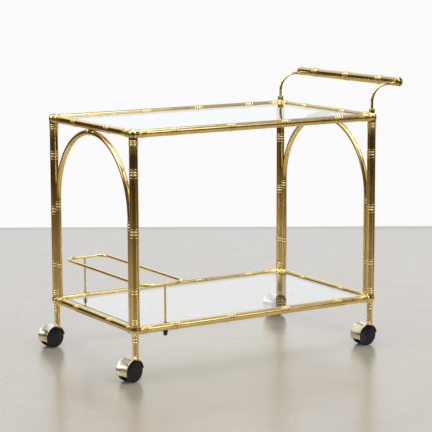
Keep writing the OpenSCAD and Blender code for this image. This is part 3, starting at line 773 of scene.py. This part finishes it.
def rounded_rectangle(half_x, half_y, radius, steps=10):
    """Points of a round-cornered rectangle, anticlockwise: corner centres + radius (cos a, sin a)."""
    turn = np.linspace(0, np.pi / 2, steps) + (np.arange(4) * np.pi / 2)[:, None]
    centre = np.array([[1, 1], [-1, 1], [-1, -1], [1, -1]]) * np.array([half_x - radius, half_y - radius])
    return (centre[:, None] + np.stack([np.cos(turn), np.sin(turn)], -1) * radius).reshape(-1, 2)


def glass_plate(name, node):
    """Rounded rectangles, each inset from the edge at its own level, closed by the middle of each face."""
    low, high, mid = box_of(node)
    half = (high - low) / 2
    thick = high[2] - low[2]
    inset = np.array([GREEN_END, GREEN_FULL, GLASS_BEVEL, 0, 0, GLASS_BEVEL, GREEN_FULL, GREEN_END])
    # Painted reflection: the rim band reaches further in on the left end.
    left_painted_line = np.array([1, 0.75, 0, 0, 0, 0, 0.75, 1]) * LEFT_PAINTED_LINE
    level = low[2] + np.array([0, 0, 0, GLASS_BEVEL, thick - GLASS_BEVEL, thick, thick, thick])
    green_edge_and_painted_line = np.array([0.0, 1, 1, 1, 1, 1, 1, 0])
    rows = []
    for i, e, z in zip(inset, left_painted_line, level):
        corner_r = max(GLASS_CORNER_R - i, GLASS_CORNER_MIN)
        outline = rounded_rectangle(half[0] - i - e / 2, half[1] - i, corner_r) + mid[:2] + [e / 2, 0]
        rows.append(np.column_stack([outline, np.full(len(outline), z)]))
    points = np.array(rows)
    across = np.linspace(0, 4 * (half[0] + half[1]), points.shape[1] + 1)
    along = np.array([0, 2, 5, 6, 10, 11, 14, 16]) * MM
    poles = (np.array([*mid[:2], low[2]]), np.array([*mid[:2], high[2]]))
    add_piece(name, [patch(points, across, along, green_edge_and_painted_line, False, poles)], node, GLASS)


glass_plate("upper_pane", "top_glass")
glass_plate("lower_pane", "shelf_glass")

# %% [markdown]
# ## Rests and pads
#
# The glass lies on eight small brass rests, each a pin from a rail with a flat seat on its end, and on each
# seat is a clear pad. They are all short discs with bevelled edges, spun like every other turned piece.

# %% Rests and pads
REST_SPACING_X, REST_SPACING_Y, REST_REACH = 400 * MM, 130 * MM, 18.5 * MM
PIN_R, PIN_DROP, PIN_BEVEL = 2.5 * MM, 5 * MM, 0.4 * MM
SEAT_R, SEAT_T, SEAT_TOP, SEAT_BEVEL = 4.5 * MM, 1.5 * MM, -1.5 * MM, 0.3 * MM
PAD_R, PAD_T = 3.8 * MM, 1.5 * MM


def rest_places():
    """Start point on a rail axis and inward direction of the eight rests of a shelf, at height 0."""
    places = []
    for s in (-1, 1):
        for x in spaced(2, REST_SPACING_X):
            places.append((np.array([middle[0] + x, middle[1] + s * half_w, 0]), -s * Y))
        for y in spaced(2, REST_SPACING_Y):
            places.append((np.array([middle[0] + s * half_l, middle[1] + y, 0]), -s * X))
    return places


def disc(bottom, height, radius, bevel):
    """Outline of a flat round disc: its edge moves in by the bevel at its bottom and at its top."""
    top, rim = bottom + height, radius - bevel
    return on_axis([[bottom, rim], [bottom + bevel, radius], [top - bevel, radius], [top, rim]])


def shelf_rests(level, shelf):
    """Each rest is a disc along its inward direction for the pin and two upright ones for seat and pad."""
    pins, pads = [], []
    for start, way in rest_places():
        seat = start + way * REST_REACH + Z * level
        pin = disc(rail_r / 2, REST_REACH - rail_r / 2, PIN_R, PIN_BEVEL)
        pins.append(turned(pin, start + Z * (level - PIN_DROP), way, 20))
        pins.append(turned(disc(SEAT_TOP - SEAT_T, SEAT_T, SEAT_R, SEAT_BEVEL), seat, Z, 28))
        pads.append(turned(disc(SEAT_TOP, PAD_T, PAD_R, SEAT_BEVEL), seat, Z, 24))
    add_piece(f"pinned_{shelf}_rests", pins, f"{shelf}_rests")
    add_piece(f"clear_{shelf}_pads", pads, f"{shelf}_pads", CLEAR_PAD)


shelf_rests(upper_z, "top_glass")
shelf_rests(lower_z, "shelf_glass")
print("with the shelves:", totals)

# %% [markdown]
# ## Bottle rail
#
# A closed ring of wire over the left end of the lower shelf keeps the bottles upright. It is carried by two
# thin posts that pass through the long rails and are drawn down by black tapered nuts. A small flared
# ferrule covers each hole. The outlines of ferrule and nut are measured in millimetres from the rail's
# axis.

# %% Bottle rail
RING_WIRE_R, RING_CORNER_R, RING_POST_R = 4 * MM, 28 * MM, 2.6 * MM
POST_TIP = [(-5.5, 0), (-4.4, 0.15), (-3.4, 0.45)]
POST_TIP_END = 2.8 * MM
FERRULE = [(8, 5.0), (10.3, 4.9), (11, 4.6), (12.2, 4.4), (12.7, 4.3), (13, 4.0)]
NUT = [(-22, 3.3), (-21.6, 4.2), (-20.5, 4.8), (-11, 6.25), (-10, 6.4), (-6, 6.4)]


def bottle_rail():
    """A circle carried round a rounded rectangle, and post, ferrule and nut spun about each hole."""
    low, high, mid = box_of("bottle_ring")
    half = (high - low)[:2] / 2 - RING_WIRE_R
    outline = rounded_rectangle(half[0], half[1], RING_CORNER_R, 16)
    ahead = np.roll(outline, -1, axis=0) - np.roll(outline, 1, axis=0)
    tangent = np.column_stack([ahead / np.linalg.norm(ahead, axis=1)[:, None], np.zeros(len(outline))])
    path = np.column_stack([outline + mid[:2], np.full(len(outline), mid[2])])
    ring = bent(path, tangent, Z, RING_WIRE_R, 24, closed=True)
    nut_h = lower_z - rail_r - box_of("bottle_ring_nuts")[0][2]
    foot, top = -rail_r - nut_h / 2, mid[2] - lower_z
    post = np.concatenate([[[foot, 0], [foot, RING_POST_R]], outline_mm(POST_TIP, top, RING_POST_R),
                           [[top - POST_TIP_END, 0]]])
    holes = [np.array([mid[0], middle[1] + s * half_w, lower_z]) for s in (-1, 1)]
    posts = [turned(post, hole, Z, 24) for hole in holes]
    ferrules = [turned(on_axis(outline_mm(FERRULE)), hole, Z, 28, True) for hole in holes]
    nuts = [turned(on_axis(outline_mm(NUT)), hole, Z, 28) for hole in holes]
    add_piece("wire_bottle_ring", [ring], "bottle_ring")
    add_piece("thin_bottle_ring_posts", posts, "bottle_ring_posts")
    add_piece("flared_ferrules", ferrules, "bottle_ring_ferrules")
    add_piece("tapered_nuts", nuts, "bottle_ring_nuts", WHEEL)


bottle_rail()
print("with the bottle rail:", totals)

# %% [markdown]
# ## Handle
#
# Two bent rods rise from sockets on the right pair of fittings and carry the bar. A rod is an arch with a
# quarter bend, so the same path function makes it. Each end of the bar has a domed cap, a little wider than
# the bar and spun, so that its shallow dome mirrors the room without facets.

# %% Handle rods and caps
ROD_R, ROD_BEND_R, ROD_SEAT, ROD_DROP = 3.5 * MM, 46 * MM, 6 * MM, 4.5 * MM
ROD_STEP, ROD_BEND_STEPS = 4 * MM, 29
CAP_R, CAP_DOME, DOME_INSET, DOME_START = 11.8 * MM, 4 * MM, 0.3 * MM, 0.8 * MM
CAP_EDGE = [(-0.4, -0.6), (-0.1, -0.1), (0.3, 0), (0.6, -0.05)]
bar_low, bar_high, bar_mid = box_of("handle_bar")


def handle_rod(node, corner):
    """A rod that rises from its socket, turns a quarter into the level and ends on the bar's axis."""
    start = np.array([*post_axis[corner], bar_mid[2] - ROD_DROP - ROD_BEND_R])
    leg, level = start[2] - upper_z - ROD_SEAT, bar_mid[0] - start[0] - ROD_BEND_R
    quarter = np.linspace(0, np.pi / 2, ROD_BEND_STEPS + 1)
    up, on = (np.linspace(0, length, int(length / ROD_STEP) + 1) for length in (leg, level))
    s = np.concatenate([up, leg + ROD_BEND_R * quarter[1:], leg + ROD_BEND_R * quarter[-1] + on[1:]])
    path, tangent = up_and_over(s, start, X, leg, ROD_BEND_R, quarter[-1])
    add_piece("bent_" + node, [bent(path, tangent, Y, ROD_R, 28)], node)


def dome(edge, height, r):
    """Outline of a dome at each radius r: h - R + sqrt(R^2 - r^2), where R = (edge^2 + h^2) / 2h."""
    sphere = (edge**2 + height**2) / (2 * height)
    return np.stack([height - sphere + np.sqrt(sphere**2 - r**2), r], 1)


def domed_caps():
    """A rounded edge followed by a shallow dome, spun about the bar's axis at each of its ends."""
    top = dome(CAP_R, CAP_DOME, np.linspace(1, 0, 14)[1:] * (CAP_R - DOME_INSET))
    edge = outline_mm(CAP_EDGE, 0, CAP_R)
    outline = np.concatenate([[[edge[0, 0], 0]], edge, top[top[:, 0] > DOME_START]])
    ends = [(-Y, bar_low[1]), (Y, bar_high[1])]
    patches = [turned(outline, np.array([bar_mid[0], y, bar_mid[2]]), way, grooved=True) for way, y in ends]
    add_piece("domed_handle_caps", patches, "handle_caps")


handle_rod("handle_rod_front", "fr")
handle_rod("handle_rod_back", "br")
domed_caps()
print("with the handle:", totals)

# %% [markdown]
# ## Legs
#
# A short turned leg joins each lower fitting to its caster: a plain tube with three beads at the top and
# one round its foot. It could be stacked from cylinders and tori, but one spun outline leaves no seams.
# Heights are counted from the rail's axis, and the foot is hollow for the bush of the caster's stem.

# %% Legs
LEG_R, LEG_BEAD_R, LEG_BEAD_OUT, LEG_BEAD_PITCH = 7.6 * MM, 2.6 * MM, 0.9 * MM, 7.6 * MM
FOOT_BEAD_R, BUSH_R, BUSH_SINK, LEG_BEVEL = 4 * MM, 5.8 * MM, 2 * MM, 0.2 * MM
LEG_TOP = [(3, -1.5)]
leg_drop = lower_z - box_of("leg_fl")[0][2]


def leg(corner):
    """A plain radius plus the rise of its beads, spun, with a bore below and a spigot above."""
    tops = -LEG_SHOULDER - LEG_BEAD_R - np.arange(3) * LEG_BEAD_PITCH
    foot = FOOT_BEAD_R - leg_drop
    low = LEG_BEVEL - leg_drop
    near = np.concatenate([around(tops, LEG_BEAD_R * np.linspace(-1, 1, 17)),
                           foot + FOOT_BEAD_R * np.linspace(-0.9, 1, 21),
                           np.linspace(low, -LEG_SHOULDER, 12)])
    height = np.unique(near[(near >= low) & (near <= -LEG_SHOULDER)].round(6))
    rise = np.maximum(beads(height, tops, LEG_BEAD_R, LEG_BEAD_OUT),
                      beads(height, [foot], FOOT_BEAD_R, LEG_BEAD_OUT))
    bottom = [[BUSH_SINK - leg_drop, BUSH_R], [-leg_drop, BUSH_R], [-leg_drop, LEG_R - LEG_BEVEL]]
    top = outline_mm(LEG_TOP, -LEG_SHOULDER, LEG_R)
    outline = np.concatenate([bottom, np.stack([height, LEG_R + rise], 1), top])
    centre = np.array([*post_axis[corner], lower_z])
    add_piece("beaded_leg_" + corner, [turned(on_axis(outline), centre, Z, 40, True)], "leg_" + corner)


for corner in CORNERS:
    leg(corner)
print("with the legs:", totals)

# %% [markdown]
# ## Casters
#
# A caster has a bright hood over two separate black wheels. Its own frame has the swivel axis at the
# origin, the axle a little behind it and the wheels' common axis across it. The turn of that frame is read
# from the axle's joint, so the pieces stay with their construction parts. The hood is a thin rounded strip
# swept round the axle, with a web between the wheels that holds the axle and the stem.

# %% Caster layout and hoods
TRAIL, STEM_BOSS_R, AXLE_BOSS_R = 20 * MM, 7.9 * MM, 8.5 * MM
WEB_HALF, WEB_IN, WEB_SINK, WEB_EDGE = 8.2 * MM, 5 * MM, 0.4 * MM, 0.5 * MM
HOOD_IN, HOOD_OUT, HOOD_HALF, HOOD_EDGE = 29.3 * MM, 30.7 * MM, 18.5 * MM, 0.6 * MM
HOOD_FRONT, HOOD_BACK = math.radians(6), math.radians(197)
LIP_DEPTH, LIP_START, LIP_END = 0.45 * MM, 1.5 * MM, 2.7 * MM
STEM_GAP, STEM_BEVEL, BOSS_BEVEL = 0.5 * MM, 0.5 * MM, 0.4 * MM
END_STEPS, END_LEAST, LIP_POINTS = np.array([1, 0.92, 0.7, 0.38, 0]), 0.05, 5
wheel_low, wheel_high, _ = box_of("wheel_outer_fl")
WHEEL_R = (wheel_high[2] - wheel_low[2]) / 2


def caster_axes(corner):
    """Unit vectors ahead of a caster and across it, towards its inner wheel: ahead = across x up."""
    spin = next(j for j in frame["joints"] if j["name"] == "spin_outer_" + corner)
    across = np.array(spin["axis"], float)
    return np.cross(across, Z), across


def axle_of(corner):
    """Middle of a caster's axle: a wheel's radius over the floor and the trail behind the post."""
    return np.array([*post_axis[corner], WHEEL_R]) - caster_axes(corner)[0] * TRAIL


def soft_step(t):
    """A step from 0 to 1 with level ends: (1 - cos(pi t)) / 2."""
    return (1 - np.cos(np.pi * t)) / 2


def lipped_section(thick, half, edge):
    """Rounded rectangle (r, y) with a rolled lip on each long edge of its outer side.

    The second result is how much each point sinks: a soft step from the lip to the strip inside it.
    """
    section = rounded_rectangle(thick, half, edge, 5)
    t = np.linspace(0, 1, LIP_POINTS)
    inward = LIP_START + t * (LIP_END - LIP_START)
    sink = LIP_DEPTH * soft_step(t)
    y = np.concatenate([inward - half, half - inward[::-1]])
    valley = np.column_stack([np.full_like(y, thick), y])
    return np.concatenate([section, valley]), np.concatenate([np.zeros(len(section)), sink, sink[::-1]])


def swept_strip(corner, inner, outer, half, edge, lipped=False, steps=60):
    """A strip with a rounded rectangular section swept round the axle from the hood's front to its back.

    A point is centre + (m + r) (cos a ahead + sin a up) + y across, where (r, y) is the rounded section and
    m its middle radius. Near each end the section shrinks by sqrt(1 - t^2), which rounds the end. A lipped
    strip sinks by a soft step inside its edges.
    """
    centre = axle_of(corner)
    ahead_way, across_way = caster_axes(corner)
    middle_r, thick = (inner + outer) / 2, (outer - inner) / 2
    section, sink = rounded_rectangle(thick, half, edge, 5), 0
    if lipped:
        section, sink = lipped_section(thick, half, edge)
    tip = edge / outer
    lip = np.linspace(LIP_START, LIP_END, LIP_POINTS)[1:] / outer
    plain = np.linspace(HOOD_FRONT + tip, HOOD_BACK - tip, steps)[1:-1]
    inside = np.unique(np.concatenate([plain, HOOD_FRONT + lip, HOOD_BACK - lip]))
    tips = tip * (1 - END_STEPS)
    angle = np.concatenate([HOOD_FRONT + tips, inside, HOOD_BACK - tips[::-1]])
    ends = 1 - edge / thick * (1 - np.sqrt(1 - END_STEPS**2))
    shrink = np.maximum(np.concatenate([ends, np.ones(len(inside)), ends[::-1]]), END_LEAST)[:, None]
    from_end = np.minimum(angle - HOOD_FRONT, HOOD_BACK - angle) * outer
    deep = soft_step(np.clip((from_end - LIP_START) / (LIP_END - LIP_START), 0, 1))
    radius = middle_r + section[:, 0] * shrink - sink * deep[:, None]
    way = np.cos(angle)[:, None] * ahead_way + np.sin(angle)[:, None] * Z
    across = section[:, 1] * (1 - (1 - shrink) * thick / half)
    points = centre + radius[..., None] * way[:, None] + across[..., None] * across_way
    round_section = np.linspace(0, 4 * (half + thick), len(section) + 1)
    poles = (centre + middle_r * way[-1], centre + middle_r * way[0])
    return patch(points[::-1], round_section, (angle - HOOD_FRONT)[::-1] * outer, poles=poles)


def hood(corner):
    """The lipped strip, the web inside it, a disc round the axle and a round boss for the stem."""
    top = box_of("leg_" + corner)[0][2] - STEM_GAP
    low = WHEEL_R + STEM_BOSS_R
    boss = on_axis([[low, STEM_BOSS_R], [top - STEM_BEVEL, STEM_BOSS_R], [top, STEM_BOSS_R - STEM_BEVEL]])
    axle_disc = disc(-WEB_HALF, 2 * WEB_HALF, AXLE_BOSS_R, BOSS_BEVEL)
    patches = [swept_strip(corner, HOOD_IN, HOOD_OUT, HOOD_HALF, HOOD_EDGE, True),
               swept_strip(corner, WEB_IN, HOOD_IN + WEB_SINK, WEB_HALF, WEB_EDGE),
               turned(axle_disc, axle_of(corner), caster_axes(corner)[1], 36),
               turned(boss, np.array([*post_axis[corner], 0]), Z, 36)]
    add_piece("bright_hood_" + corner, patches, "caster_hood_" + corner, PALE_BRASS, "caster_" + corner)

# %% [markdown]
# ## Wheels
#
# A wheel is a moulded black disc with a shallow domed outer face, a fine groove round it and a hollow inner
# face with a hub. It is one outline spun about the axle. Its wear value is the share of tread, for the dust
# there.

# %% Wheels
RIM_IN, RIM_OUT, DOME_H, HUB_R, TREAD_EDGE = 8.5 * MM, 17.5 * MM, 2.5 * MM, 7 * MM, 1.5 * MM
HUB_SIDE, RECESS_R = [(0, -0.3), (0.3, 0), (4, 0.4)], 20 * MM
RECESS_SIDE = [(4, -0.4), (0.3, 0), (0, 0.3)]
FACE_GROOVE, FACE_EDGE = [(0, -1.75), (-0.45, -1.95), (-0.45, -2.15)], 2.3 * MM
TREAD_START, TREAD_FADE = 1.2 * MM, 1.0 * MM


def wheel_outline():
    """Half outline of a wheel, (distance from the caster's middle, radius), and its share of tread, 0 to 1.

    It runs from the hub over the recess and the rounded tread to the groove and the dome of the outer face.
    """
    turn = np.linspace(0, np.pi / 2, 6)
    inward, drop = TREAD_EDGE * (1 - np.sin(turn)), TREAD_EDGE * (1 - np.cos(turn))
    inner_edge = np.stack([RIM_IN + inward, WHEEL_R - drop], 1)
    outer_edge = np.stack([RIM_OUT - inward, WHEEL_R - drop], 1)
    face = dome(WHEEL_R - FACE_EDGE, DOME_H, np.linspace(WHEEL_R - FACE_EDGE, 0, 22)) + (RIM_OUT, 0)
    outline = np.concatenate([[[RIM_IN, 0]], outline_mm(HUB_SIDE, RIM_IN, HUB_R),
                              outline_mm(RECESS_SIDE, RIM_IN, RECESS_R), inner_edge[::-1], outer_edge,
                              outline_mm(FACE_GROOVE, RIM_OUT, WHEEL_R), face])
    return outline, np.clip((outline[:, 1] - WHEEL_R + TREAD_START) / TREAD_FADE, 0, 1)


def wheel(node, corner, s):
    """The outline spun about the axle, to the outer side for s = -1 and to the inner side for s = 1."""
    outline, tread = wheel_outline()
    surface = turned(outline, axle_of(corner), s * caster_axes(corner)[1], 72)
    surface["wear"] = tread[1:-1]
    add_piece("black_" + node, [surface], node, WHEEL, node)


for corner in CORNERS:
    hood(corner)
    wheel("wheel_outer_" + corner, corner, -1)
    wheel("wheel_inner_" + corner, corner, 1)
print("with the casters:", totals)

# %% [markdown]
# ## Pins and bushes that stay as constructed
#
# The pins of the casters and arches and the bushes in the legs already have the right shape in the
# construction model. They keep it and only get their finishes.

# %% Finishes of the remaining construction pieces
def dress(node, material):
    """Gives a construction piece its finish in every material slot."""
    slots = frame["nodes"][node].material_slots
    for slot in slots:
        slot.material = material
    if not slots:
        frame["nodes"][node].data.materials.append(material)


dress("arch_pins", STEEL)
dress("stem_bushes", BUSH)
for corner in CORNERS:
    dress("caster_pins_" + corner, STEEL)
print("construction pieces dressed:", 2 + len(CORNERS))

# %% [markdown]
# ## Floor
#
# The trolley stands on a pale waxed floor that ends in a dark band of painted shade at the foot of a white
# wall. The camera sees all of it lit, straight on and through the glass. In reflections and in the light it
# throws back, its colour is darkened with the distance from the trolley, red last: painted shade for a dark
# warm room, because the lower part of every tube mirrors it. It is one large face, and the painted shade is
# worked out in its shader, so that no lamp has to be aimed at it.

# %% Floor
FLOOR_BACK, FLOOR_FRONT, FLOOR_SIDE = 1.84, 5.0, 5.0
# Painted shade: a dark band at the foot of the wall, and the floor's colour darkened in reflections.
SEAM_SHADE_WIDTH, SEAM_SHADE_END = 0.09, 0.01
LIT_REACH, LIT_FADE, WAX_REACH = 0.9, 1.05, 0.85
PAINTED_SHADE_RATES, WAX_RATE = (1.0, 1.25, 1.8), 2.2
CONCRETE_DARK, CONCRETE_PALE, SEAM_SHADE = (0.375, 0.33, 0.26), (0.45, 0.405, 0.335), (0.05, 0.045, 0.04)
FLOOR_CLOUDS, FLOOR_GRAIN, CLOUD_SHARE, SEAM_SHADE_SHARE = 1.3, 9, 0.6, 0.5
COAT, COAT_ROUGH, FLOOR_GLOSS = 0.68, 0.22, 0.5
ahead = Vector((math.sin(CAMERA_YAW), math.cos(CAMERA_YAW), 0))
to_right = Vector((ahead.y, -ahead.x, 0))


def place_along(nodes, way):
    """How far a point of the floor lies from the trolley's middle along way: (p - middle) . way."""
    return nodes.combine("SUBTRACT", nodes.reach("Object", way), way[0] * middle[0] + way[1] * middle[1])


def light_left(nodes, rate, reach=LIT_REACH):
    """Painted light left: exp(-rate d / LIT_FADE) past the lit ground by d, and 1 where the camera looks.
    """
    aside = nodes.combine("ABSOLUTE", place_along(nodes, to_right), 0)
    outside = nodes.combine("SUBTRACT", nodes.larger(place_along(nodes, -ahead), aside), reach)
    left = nodes.combine("POWER", math.exp(-rate / LIT_FADE), nodes.larger(outside, 0))
    return nodes.larger(left, nodes.larger(nodes.ray("Is Camera Ray"), nodes.ray("Is Transmission Ray")))


def studio_floor():
    """Two concretes mixed by clouds, darkened by painted shade at the foot of the wall, times the painted
    light that is left of each colour.

    The wax coat and its gloss also weaken with the painted light that is left.
    """
    material, nodes = new_finish("studio_floor")
    clouds = nodes.ramp(nodes.noise(FLOOR_CLOUDS, 4), 0.3, 0.75)
    grain = nodes.ramp(nodes.noise(FLOOR_GRAIN), 0.3, 0.7)
    tone = nodes.combine("ADD", nodes.times(clouds, CLOUD_SHARE), nodes.times(grain, 1 - CLOUD_SHARE))
    concrete = nodes.blend(tone, CONCRETE_DARK, CONCRETE_PALE)
    # Painted shade at the foot of the wall.
    seam_shade = nodes.ramp(place_along(nodes, ahead), FLOOR_BACK - SEAM_SHADE_WIDTH, FLOOR_BACK - SEAM_SHADE_END)
    concrete = nodes.blend(nodes.times(seam_shade, SEAM_SHADE_SHARE), concrete, SEAM_SHADE)
    # Painted shade: outside the lit ground, reflections and bounced light see the colour darkened, red
    # last.
    painted_shade = nodes.make("ShaderNodeCombineColor")
    for socket, rate in zip(painted_shade.inputs, PAINTED_SHADE_RATES):
        nodes.feed(socket, light_left(nodes, rate))
    wax = light_left(nodes, WAX_RATE, WAX_REACH)
    nodes.shade(Base_Color=nodes.blend(1.0, concrete, painted_shade.outputs["Color"], "MULTIPLY"),
                Roughness=nodes.ramp(clouds, 0, 1, 0.24, 0.34), Coat_Weight=nodes.times(wax, COAT),
                Specular_IOR_Level=nodes.times(wax, FLOOR_GLOSS), Coat_Roughness=COAT_ROUGH)
    centre = Vector((*middle, 0))
    sides = [(-FLOOR_FRONT, -FLOOR_SIDE), (-FLOOR_FRONT, FLOOR_SIDE), (FLOOR_BACK, FLOOR_SIDE),
             (FLOOR_BACK, -FLOOR_SIDE)]
    mesh = bpy.data.meshes.new("studio_floor")
    mesh.from_pydata([tuple(centre + ahead * a + to_right * b) for a, b in sides], [], [(0, 1, 2, 3)])
    mesh.materials.append(material)
    into_scene("studio_floor", mesh)


studio_floor()
print("floor from", -FLOOR_FRONT, "to", FLOOR_BACK, "m along the camera's view")

# %% [markdown]
# ## The studio around the trolley
#
# Polished metal shows its surroundings, so the studio is part of the likeness. Mirrored rays see a dim room
# behind the camera, which gives the tubes their dark stripes, a white wall ahead with a dark doorway low on
# its left, a cooler overhead, and soft panels on both sides, the higher ones bright enough to sparkle on
# the beads. The camera sees plain white, also through the glass. Rays that light the floor and the plastic
# see an even soft world.

# %% The studio around the trolley
SIDE_DARK, SIDE_PALE, DOORWAY = (0.085, 0.055, 0.03), (0.10, 0.09, 0.08), (0.07, 0.045, 0.03)
WALL, OVERHEAD = (0.98, 1.01, 1.05), (0.46, 0.47, 0.55)
SOFT, SEEN = (0.75, 0.75, 0.75), (0.96, 0.96, 0.96)
SIDES_LEAN, WALL_LEAN, OVERHEAD_LEAN = (0.6, 0.9), (0.47, 0.55), (0.52, 0.62)
DOOR_LEFT, DOOR_TOP, DOOR_AHEAD = (0.58, 0.66), (0.40, 0.48), (0.25, 0.30)
SOFT_EDGE = math.radians(1.5)
# azimuth, height and reach in degrees, and the glow
PANELS = ((57, 24, 11, (2.6, 2.55, 2.4)), (-74, 24, 11, (2.6, 2.55, 2.4)), (-96, 24, 11, (1.5, 1.45, 1.4)),
          (90, 10, 4, (1.1, 1.3, 1.4)), (48, 54, 13, (5.5, 5.4, 5.2)), (-76, 52, 13, (5.5, 5.4, 5.2)),
          (132, 33, 9, (3.2, 3.1, 2.9)))


def panel_way(azimuth, height):
    """Unit vector to a panel: cos h (sin a right - cos a ahead) + sin h up, a from the camera's side."""
    level = -ahead * math.cos(azimuth) + to_right * math.sin(azimuth)
    return level * math.cos(height) + Vector((0, 0, math.sin(height)))


def studio_world():
    """White for the camera and through glass, the studio for reflections, even light for the rest."""
    world = bpy.data.worlds.new("studio")
    bpy.context.scene.world = world
    world.use_nodes = True
    world.node_tree.nodes.clear()
    nodes = Nodes(world.node_tree)

    def leaning(way, low, high):
        """How far the looked-up direction leans along way, mapped from low..high to 0..1."""
        return nodes.ramp(nodes.reach("Generated", way), low, high)

    sides = nodes.larger(leaning(to_right, *SIDES_LEAN), leaning(-to_right, *SIDES_LEAN))
    colour = nodes.blend(sides, SIDE_DARK, SIDE_PALE)
    colour = nodes.blend(leaning(ahead, *WALL_LEAN), colour, WALL)
    colour = nodes.blend(leaning(Z, *OVERHEAD_LEAN), colour, OVERHEAD)
    low_part = nodes.combine("SUBTRACT", 1.0, leaning(Z, *DOOR_TOP))
    doorway = nodes.times(leaning(-to_right, *DOOR_LEFT), low_part)
    doorway = nodes.times(doorway, leaning(ahead, *DOOR_AHEAD))
    colour = nodes.blend(doorway, colour, DOORWAY)
    for *angles, glow in PANELS:
        azimuth, height, reach = (math.radians(angle) for angle in angles)
        way = panel_way(azimuth, height)
        panel = leaning(way, math.cos(reach + SOFT_EDGE), math.cos(reach - SOFT_EDGE))
        colour = nodes.blend(panel, colour, glow)
    first_pass = nodes.combine("LESS_THAN", nodes.ray("Diffuse Depth"), 0.5)
    through = nodes.times(nodes.ray("Is Transmission Ray"), first_pass)
    plain = nodes.larger(nodes.ray("Is Camera Ray"), through)
    mirrored = nodes.times(nodes.ray("Is Glossy Ray"), first_pass)
    seen = nodes.blend(plain, nodes.blend(mirrored, SOFT, colour), SEEN)
    shine = nodes.make("ShaderNodeBackground", Color=seen)
    nodes.make("ShaderNodeOutputWorld", Surface=shine.outputs["Background"])


studio_world()
print("panels of light:", len(PANELS))

# %% [markdown]
# ## Lamp
#
# One large square lamp hangs over the trolley, a little towards the camera. It draws the soft shadow on the
# floor and under the shelves, which the even world can't.

# %% Lamp
LAMP_SIZE, LAMP_POWER, LAMP_RISE, LAMP_FORWARD, LAMP_AIM = 2.4, 45, 2.6, 0.3, 0.4


def soft_lamp(name, place, size, power, aim):
    """A square area lamp at a place, turned so that its -Z points from there to the aim point."""
    data = bpy.data.lights.new(name, "AREA")
    data.shape = "SQUARE"
    data.size, data.energy = size, power
    lamp = into_scene(name, data)
    lamp.location = place
    lamp.rotation_euler = (aim - place).to_track_quat("-Z", "Y").to_euler()


aim = Vector((*middle, LAMP_AIM))
soft_lamp("overhead", aim + Vector((0, 0, LAMP_RISE)) - ahead * LAMP_FORWARD, LAMP_SIZE, LAMP_POWER, aim)
print("lamps:", len(bpy.data.lights))
